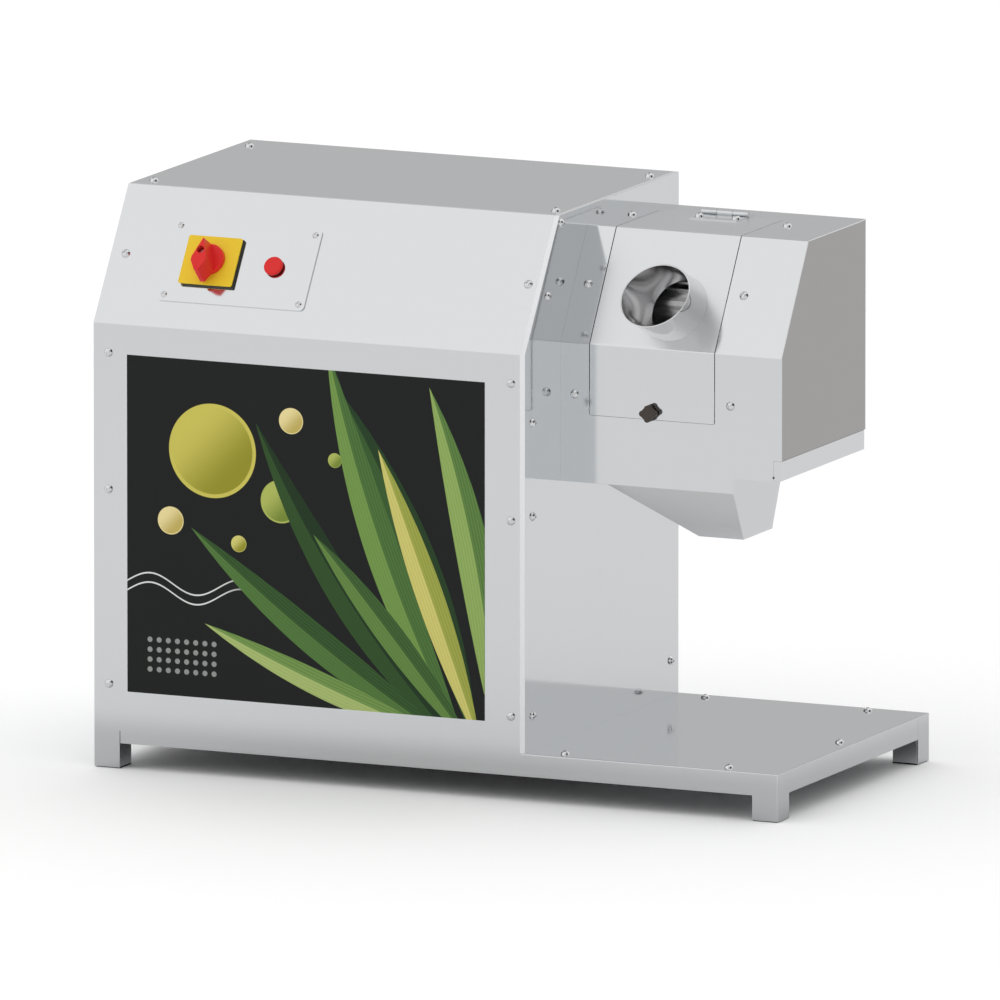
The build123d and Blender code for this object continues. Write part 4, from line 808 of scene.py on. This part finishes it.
@dataclass
class Controls:
    """The control plate with its isolating switch and its push button."""

    plate: float = 0.0015
    switch_top: float = 0.0069
    handle_gap: float = 0.0003
    skirt_radius: float = 0.0165
    skirt_height: float = 0.0057
    foot_tip: float = 0.016
    foot_tail: float = 0.027
    crown_tip: float = 0.014
    crown_half: float = 0.0083
    crown_tail: float = 0.0225
    tail_half: float = 0.0025
    shoulder_high: float = 0.0084
    shoulder_low: float = 0.0126
    grip_height: float = 0.023
    grip_round: float = 0.0007
    grip_corners: int = 7
    corner_reach: float = 0.05
    foot_reach: float = 0.001
    well_radius: float = 0.004
    well_depth: float = 0.009
    screw_radius: float = 0.0034
    screw_height: float = 0.0022
    screw_slot: float = 0.0009
    stem_radius: float = 0.005
    stem_length: float = 0.012
    cap_radius: float = 0.0104
    cap_seat: float = 0.0041
    cap_height: float = 0.0032
    cap_round: float = 0.0021
    cap_hollow: float = 0.002
    cap_hollow_radius: float = 0.0087
    cap_stem_radius: float = 0.003
    cap_stem_length: float = 0.0181
    edge: float = 0.0005
    plate_edge: float = 0.0012

    def build(self) -> None:
        """Models the handle, its fixing screw and the button's cap in their places."""
        turn = joint("switch_turn")
        origin, outward = Vector(turn["pos_m"]), Vector(turn["axis"])
        place = on_plane(origin, outward)
        handle = self.handle()
        Bench.settle(handle, place)
        Bench.hand_over(handle, RED, "switch_handle", "switch_handle")
        screw = self.fixing_screw()
        Bench.settle(screw, place)
        Bench.hand_over(screw, SCREW, "switch_handle")
        low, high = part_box("button_cap")
        cap = self.cap()
        Bench.settle(cap, on_plane(Vector(((low.x + high.x) / 2, origin.y, origin.z)), outward))
        Bench.hand_over(cap, RED, "stop_button", "button_cap")

    @property
    def handle_floor(self) -> float:
        """Height of the handle's underside over the sloped sheet."""
        return self.switch_top + self.handle_gap

    @property
    def crown(self) -> float:
        """Height of the top of the grip over the sloped sheet."""
        return self.handle_floor + self.skirt_height + self.grip_height

    def crown_corners(self) -> tuple[tuple[float, float], ...]:
        """Half width and place up the slope of the crown's corners, from its tip to its tail."""
        return (
            (0.0, self.crown_tip),
            (self.crown_half, -self.shoulder_high),
            (self.crown_half, -self.shoulder_low),
            (self.tail_half, -self.crown_tail),
        )

    def foot_corners(self) -> tuple[tuple[float, float], ...]:
        """The same for the foot, each side along its side of the crown so that the flanks are flat."""
        half = self.crown_half * (self.foot_tip + self.shoulder_high) / (self.crown_tip + self.shoulder_high)
        taper = (self.crown_tail - self.shoulder_low) / (self.crown_half - self.tail_half)
        low = self.foot_tail - (half - self.tail_half) * taper
        return (0.0, self.foot_tip), (half, -self.shoulder_high), (half, -low), (self.tail_half, -self.foot_tail)

    def handle(self) -> bpy.types.Object:
        """Models the tapered grip on its round skirt, with the well of the fixing screw and a stem.

        Returns:
            The handle, with Z out of the plate and Y up the slope.
        """
        foot = self.handle_floor + self.skirt_height
        grip = Bench.cylinder("isolator_handle", 1.0, foot, self.crown, self.grip_corners)
        Bench.edit(grip)
        for height, corners in ((foot, self.foot_corners()), (self.crown, self.crown_corners())):
            for corner, (half, up) in enumerate(corners):
                angle = 2 * math.pi * corner / self.grip_corners
                side, start = math.sin(angle), math.cos(angle)
                Bench.pick(grip, Part.POINTS, lambda point: (
                    abs(point.co.z - height) < self.grip_height / 2 and abs(point.co.y - start) < self.corner_reach))
                bpy.ops.transform.resize(value=(half / side if side else 1, 1, 1), center_override=(0, 0, 0))
                bpy.ops.transform.translate(value=(0, up - start, 0))
        Bench.pick(grip, Part.EDGES, lambda edge: max(point.co.z for point in edge.verts) > foot + self.foot_reach)
        bpy.ops.mesh.bevel(offset=self.grip_round, segments=4, profile=0.5, affect="EDGES")
        skirt = self.turned("handle_skirt", self.skirt_radius, self.handle_floor, foot, self.grip_round)
        Bench.combine(grip, skirt, "UNION")
        stem_end = self.handle_floor - self.stem_length
        stem = Bench.cylinder("handle_stem", self.stem_radius, stem_end, foot, SMALL_SIDES)
        Bench.combine(grip, stem, "UNION")
        well_floor = self.crown - self.well_depth
        well = Bench.cylinder("screw_well", self.well_radius, well_floor, 2 * self.crown, ROUND_SIDES)
        Bench.combine(grip, well, "DIFFERENCE")
        return grip

    def fixing_screw(self) -> bpy.types.Object:
        """Models the cross-slotted head of the screw in the handle's well.

        Returns:
            The screw head, with Z out of the plate.
        """
        low = self.crown - self.well_depth
        high = low + self.screw_height
        head = self.turned("handle_fixing_screw", self.screw_radius, low, high, self.screw_height / 3)
        for size in ((self.screw_radius, self.screw_slot), (self.screw_slot, self.screw_radius)):
            slot = Bench.bar("screw_slot", (*size, self.screw_height), (0, 0, high))
            Bench.combine(head, slot, "DIFFERENCE")
        return head

    def turned(self, name: str, radius: float, low: float, high: float, rim: float) -> bpy.types.Object:
        """Cylinder along Z with a rounded upper rim."""
        piece = Bench.cylinder(name, radius, low, high, FINE_SIDES)
        Bench.edit(piece)
        Bench.pick(piece, Part.FACES, lambda face: face.normal.z > FACING)
        bpy.ops.mesh.region_to_loop()
        bpy.ops.mesh.bevel(offset=rim, segments=6, profile=0.5, affect="EDGES")
        Bench.clear()
        return piece

    def cap(self) -> bpy.types.Object:
        """Models the push button's cap: rounded rim, hollow over the collar, and stem.

        Returns:
            The cap, with Z out of the plate.
        """
        top = self.cap_seat + self.cap_height
        cap = self.turned("stop_button_cap", self.cap_radius, self.cap_seat, top, self.cap_round)
        Bench.edit(cap)
        Bench.pick(cap, Part.FACES, lambda face: face.normal.z < -FACING)
        bpy.ops.mesh.inset(thickness=self.cap_radius - self.cap_hollow_radius, depth=0)
        bpy.ops.mesh.extrude_region_move(TRANSFORM_OT_translate={"value": (0, 0, self.cap_hollow)})
        bpy.ops.mesh.inset(thickness=self.cap_hollow_radius - self.cap_stem_radius, depth=0)
        bpy.ops.mesh.extrude_region_move(TRANSFORM_OT_translate={"value": (0, 0, -self.cap_stem_length)})
        Bench.clear()
        return cap

    def dress(self) -> None:
        """Dresses the solids of the controls."""
        dress("control_plate", SATIN, self.plate_edge)
        dress("control_plate_screws", SCREW)
        for node in ("switch_body", "button_collar"):
            dress(node, BLACK, self.edge)
        dress("button_contacts", BLACK)
        dress("switch_face_plate", YELLOW, self.edge)


@dataclass
class Head:
    """The overhung head with its door, feed tube, latch, hinge and funnel."""

    tube_radius: float = 0.03745
    tube_wall: float = 0.0014
    tube_in: float = 0.030
    tube_out: float = 0.051
    mouth_tilt: float = 22.7
    tube_round: float = 0.0005
    tube_sides: int = 160
    knob_waist: float = 0.0068
    knob_lobe: float = 0.0034
    knob_lobe_circle: float = 0.0055
    knob_from: float = 0.002
    knob_to: float = 0.010
    knob_round: float = 0.0008
    knob_neck: float = 0.005
    knob_stem: float = 0.004
    knob_stem_end: float = -0.0027
    knob_gap: float = 0.0003
    knob_overlap: float = 0.001
    sheet_edge: float = 0.0004
    door_edge: float = 0.0002

    def build(self) -> None:
        """Models the feed tube and the latch knob in their places."""
        mouth = next(mount for mount in frame["record"]["mounts"] if mount["name"] == "feed_mouth")
        tube = self.tube()
        Bench.settle(tube, on_plane(Vector(mouth["pos_m"]), Vector(mouth["axis"])))
        Bench.hand_over(tube, POLISHED, "door", "feed_tube")
        turn = joint("latch_turn")
        knob = self.knob()
        Bench.settle(knob, on_plane(Vector(turn["pos_m"]), -Vector(turn["axis"])))
        Bench.hand_over(knob, KNOB, "latch", "latch_knob")

    def tube(self) -> bpy.types.Object:
        """Models the tube with its slanting mouth, rounded rims and duller bore.

        Returns:
            The tube, with Z out along its axis and Y upwards.
        """
        tube = Bench.cylinder("cane_feed_tube", self.tube_radius, -self.tube_in, 2 * self.tube_out, self.tube_sides)
        tilt = math.radians(self.mouth_tilt)
        Bench.edit(tube)
        bpy.ops.mesh.select_all(action="SELECT")
        bpy.ops.mesh.bisect(
            plane_co=(0, 0, self.tube_out), plane_no=(0, math.sin(tilt), math.cos(tilt)),
            clear_outer=True, use_fill=True)
        Bench.clear()
        bore = Bench.cylinder(
            "tube_bore", self.tube_radius - self.tube_wall, -2 * self.tube_in, 3 * self.tube_out, self.tube_sides)
        Bench.combine(tube, bore, "DIFFERENCE")
        Bench.modify(
            tube, "BEVEL", width=self.tube_round, segments=3, limit_method="ANGLE", angle_limit=math.radians(50))
        Bench.coat(tube, POLISHED, BORE)
        for face in tube.data.polygons:
            face.material_index = int(face.normal.xy.dot(face.center.xy.normalized()) < -FACING)
        return tube

    def knob(self) -> bpy.types.Object:
        """Models the four-lobed knob with its neck and stem.

        Returns:
            The knob, with Z out of the door.
        """
        knob = Bench.cylinder("latch_lobe_knob", self.knob_waist, self.knob_from, self.knob_to, ROUND_SIDES)
        for quarter in range(4):
            angle = quarter * math.pi / 2
            lobe = Bench.cylinder("lobe", self.knob_lobe, self.knob_from, self.knob_to, SMALL_SIDES)
            lobe.location = (self.knob_lobe_circle * math.cos(angle), self.knob_lobe_circle * math.sin(angle), 0)
            Bench.combine(knob, lobe, "UNION")
        Bench.modify(
            knob, "BEVEL", width=self.knob_round, segments=4, limit_method="ANGLE", angle_limit=math.radians(30))
        neck_end = self.knob_from + self.knob_overlap
        neck = Bench.cylinder("neck", self.knob_neck, self.knob_gap, neck_end, SMALL_SIDES)
        Bench.combine(knob, neck, "UNION")
        stem = Bench.cylinder("stem", self.knob_stem, self.knob_stem_end, self.knob_overlap, SMALL_SIDES)
        Bench.combine(knob, stem, "UNION")
        return knob

    def dress(self) -> None:
        """Dresses the head's solids."""
        for node in ("head_shell", "head_rear_panel", "head_floor_pan"):
            dress(node, SATIN, self.sheet_edge)
        dress("door_panel", DOOR_SHEET, self.door_edge)
        dress("juice_funnel", FUNNEL_SHEET, self.sheet_edge)
        dress("end_panel", END_SHEET, self.sheet_edge)
        for node in ("hinge_door_leaf", "hinge_fixed_leaf", "hinge_pin"):
            dress(node, HINGE_STEEL)
        dress("hinge_screws", SCREW)
        dress("latch_tongue", SATIN, self.sheet_edge)
        dress("head_frame", FRAME_PRIMER)
        for node in ("outer_roller_plate", "tie_bars"):
            dress(node, SIDE_SHEET)


@dataclass
class Drive:
    """Motor, belt, gearbox, rollers and their gears."""

    edge: float = 0.0005
    groups: dict[str, tuple[str, ...]] = field(default_factory=lambda: {
        "rollers": ("top_roller", "front_roller", "rear_roller"),
        "gears": (
            "top_roller_gear", "front_roller_gear", "rear_roller_gear",
            "input_shaft", "countershaft", "output_gear", "shaft_coupling", "motor_rotor",
        ),
        "castings": ("gearbox_housing", "gearbox_cover", "motor_pulley", "input_pulley"),
        "motor": ("motor_body", "motor_end_covers"),
    })

    def dress(self) -> None:
        """Dresses the solids of the drive."""
        for group, finish in (
            ("rollers", ROLLER), ("gears", GEAR), ("castings", IRON_PAINT), ("motor", MOTOR_PAINT),
        ):
            for node in self.groups[group]:
                dress(node, finish, self.edge if group in ("castings", "motor") else 0.0)
        dress("shaft_bushes", BRONZE)
        dress("gearbox_shelf", FRAME_PRIMER)
        dress("drive_belt", BELT)


@dataclass(frozen=True)
class DimPatch:
    """A dimmer part of the surround, as bright metal mirrors it."""

    middle: Triple
    inner: float
    outer: float
    loss: float


@dataclass
class Studio:
    """White floor, soft light and the camera at the photograph's angle."""

    yaw: float = 24.37
    pitch: float = 10.07
    aim: Triple = (-0.01081, -0.00655, 0.27979)
    distance: float = 37.534
    focal_pixels: float = 36000.0
    image_pixels: float = 1000.0
    sensor: float = 36.0
    floor_size: float = 60.0
    floor_low: float = 0.97
    floor_high: float = 0.98
    sky: float = 0.684
    sky_lean: float = 0.9
    sky_from: Triple = (-0.32, 0.38, 0.87)
    dim_patches: tuple[DimPatch, ...] = (
        DimPatch((-0.420, 0.820, 0.380), 15.0, 27.0, 0.47),
        DimPatch((-0.350, 0.200, 0.920), 10.0, 25.0, 0.50),
        DimPatch((0.850, -0.050, 0.480), 18.0, 33.0, 0.95),
        DimPatch((-0.910, 0.330, 0.200), 14.0, 27.0, 0.85),
        DimPatch((0.420, -0.560, 0.710), 12.0, 24.0, 0.34),
        DimPatch((0.450, -0.850, 0.250), 8.0, 32.0, 0.35),
        DimPatch((0.406, 0.897, 0.300), 12.0, 25.0, 0.31),
    )
    floor_mirror: float = 0.785
    key_from: Triple = (-0.406, -0.520, 0.751)
    key_distance: float = 3.0
    key_size: float = 2.4
    key_glow: float = 0.21

    def build(self) -> None:
        """Sets up the floor, the world, the lamp and the camera."""
        self.floor()
        self.world()
        self.lamp()
        self.camera()

    def floor(self) -> None:
        """Lays the plain white floor."""
        Bench.clear()
        bpy.ops.mesh.primitive_plane_add(size=self.floor_size)
        floor = bpy.context.object
        floor.name = "studio_floor"
        graph = MaterialGraph("white_floor")
        cloud = graph.noise((0.8, 0.8, 0.8), 1.0)
        low, high, in_mirrors = (
            (white,) * 3 + (1.0,) for white in (self.floor_low, self.floor_high, self.floor_mirror))
        mirrored = graph.add("ShaderNodeLightPath", output="Is Glossy Ray")
        graph.finish(
            Base_Color=graph.blend(mirrored, graph.blend(cloud, low, high), in_mirrors),
            Roughness=0.9,
            Specular_IOR_Level=0.0,
        )
        floor.data.materials.append(graph.material)

    def world(self) -> None:
        """Lights the set from a white surround, stronger from the upper left, whose mirror image has dim patches."""
        world = bpy.data.worlds.new("studio")
        world.use_nodes = True
        bpy.context.scene.world = world
        graph = Graph(world.node_tree)
        path = graph.tree.nodes.new("ShaderNodeLightPath")
        seen, glossy, through = (
            Value(graph, path.outputs[name]) for name in ("Is Camera Ray", "Is Glossy Ray", "Is Transmission Ray"))
        way = graph.add("ShaderNodeTexCoord", output="Generated")
        mirrored = 1.0
        for patch in self.dim_patches:
            cosine = self.towards(graph, way, patch.middle)
            near = graph.smooth(cosine, math.cos(math.radians(patch.outer)), math.cos(math.radians(patch.inner)))
            mirrored = (1 - near * patch.loss) * mirrored
        cast = (self.towards(graph, way, self.sky_from) * self.sky_lean + 1.0) * self.sky
        strength = seen + through + glossy * mirrored + (1 - seen - through - glossy) * cast
        surround = graph.tree.nodes.new("ShaderNodeBackground")
        graph.feed(surround.inputs["Strength"], strength)
        surround.inputs["Color"].default_value = (1.0, 1.0, 1.0, 1.0)
        output = graph.tree.nodes.new("ShaderNodeOutputWorld")
        graph.tree.links.new(surround.outputs[0], output.inputs[0])

    @staticmethod
    def towards(graph: Graph, way: Value, direction: Triple) -> Value:
        """Cosine between the way of a ray and a direction."""
        unit = tuple(Vector(direction).normalized())
        return graph.add("ShaderNodeVectorMath", {"operation": "DOT_PRODUCT"}, {0: way, 1: unit}, "Value")

    def lamp(self) -> None:
        """Hangs the large soft box, which no mirror image shows."""
        light = bpy.data.lights.new("key_soft_box", "AREA")
        light.size = self.key_size
        light.energy = self.key_glow * math.pi * self.key_size ** 2
        lamp = bpy.data.objects.new("key_soft_box", light)
        bpy.context.scene.collection.objects.link(lamp)
        towards = Vector(self.key_from).normalized()
        lamp.location = Vector(self.aim) + towards * self.key_distance
        lamp.rotation_euler = towards.to_track_quat("Z", "Y").to_euler()
        lamp.visible_camera = False
        lamp.visible_glossy = False

    def camera(self) -> None:
        """Sets the long lens at the photograph's angle."""
        yaw, pitch = math.radians(self.yaw), math.radians(self.pitch)
        back = Vector((math.sin(yaw) * math.cos(pitch), -math.cos(yaw) * math.cos(pitch), math.sin(pitch)))
        data = bpy.data.cameras.new("camera")
        data.sensor_width = self.sensor
        data.lens = self.focal_pixels * self.sensor / self.image_pixels
        data.clip_end = 10 * self.distance
        camera = bpy.data.objects.new("camera", data)
        bpy.context.scene.collection.objects.link(camera)
        camera.location = Vector(self.aim) + back * self.distance
        camera.rotation_euler = back.to_track_quat("Z", "Y").to_euler()
        bpy.context.scene.camera = camera


def main() -> None:
    """Builds the pieces, dresses the solids and sets up the studio."""
    logging.basicConfig(level=logging.INFO, format="%(name)s %(message)s")
    bpy.context.scene.view_settings.view_transform = "Standard"
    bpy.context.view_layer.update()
    controls = Controls()
    head = Head()
    for assembly in (controls, head):
        assembly.build()
    for assembly in (Cabinet(), controls, head, Drive()):
        assembly.dress()
    Studio().build()


if __name__ == "__main__":
    main()
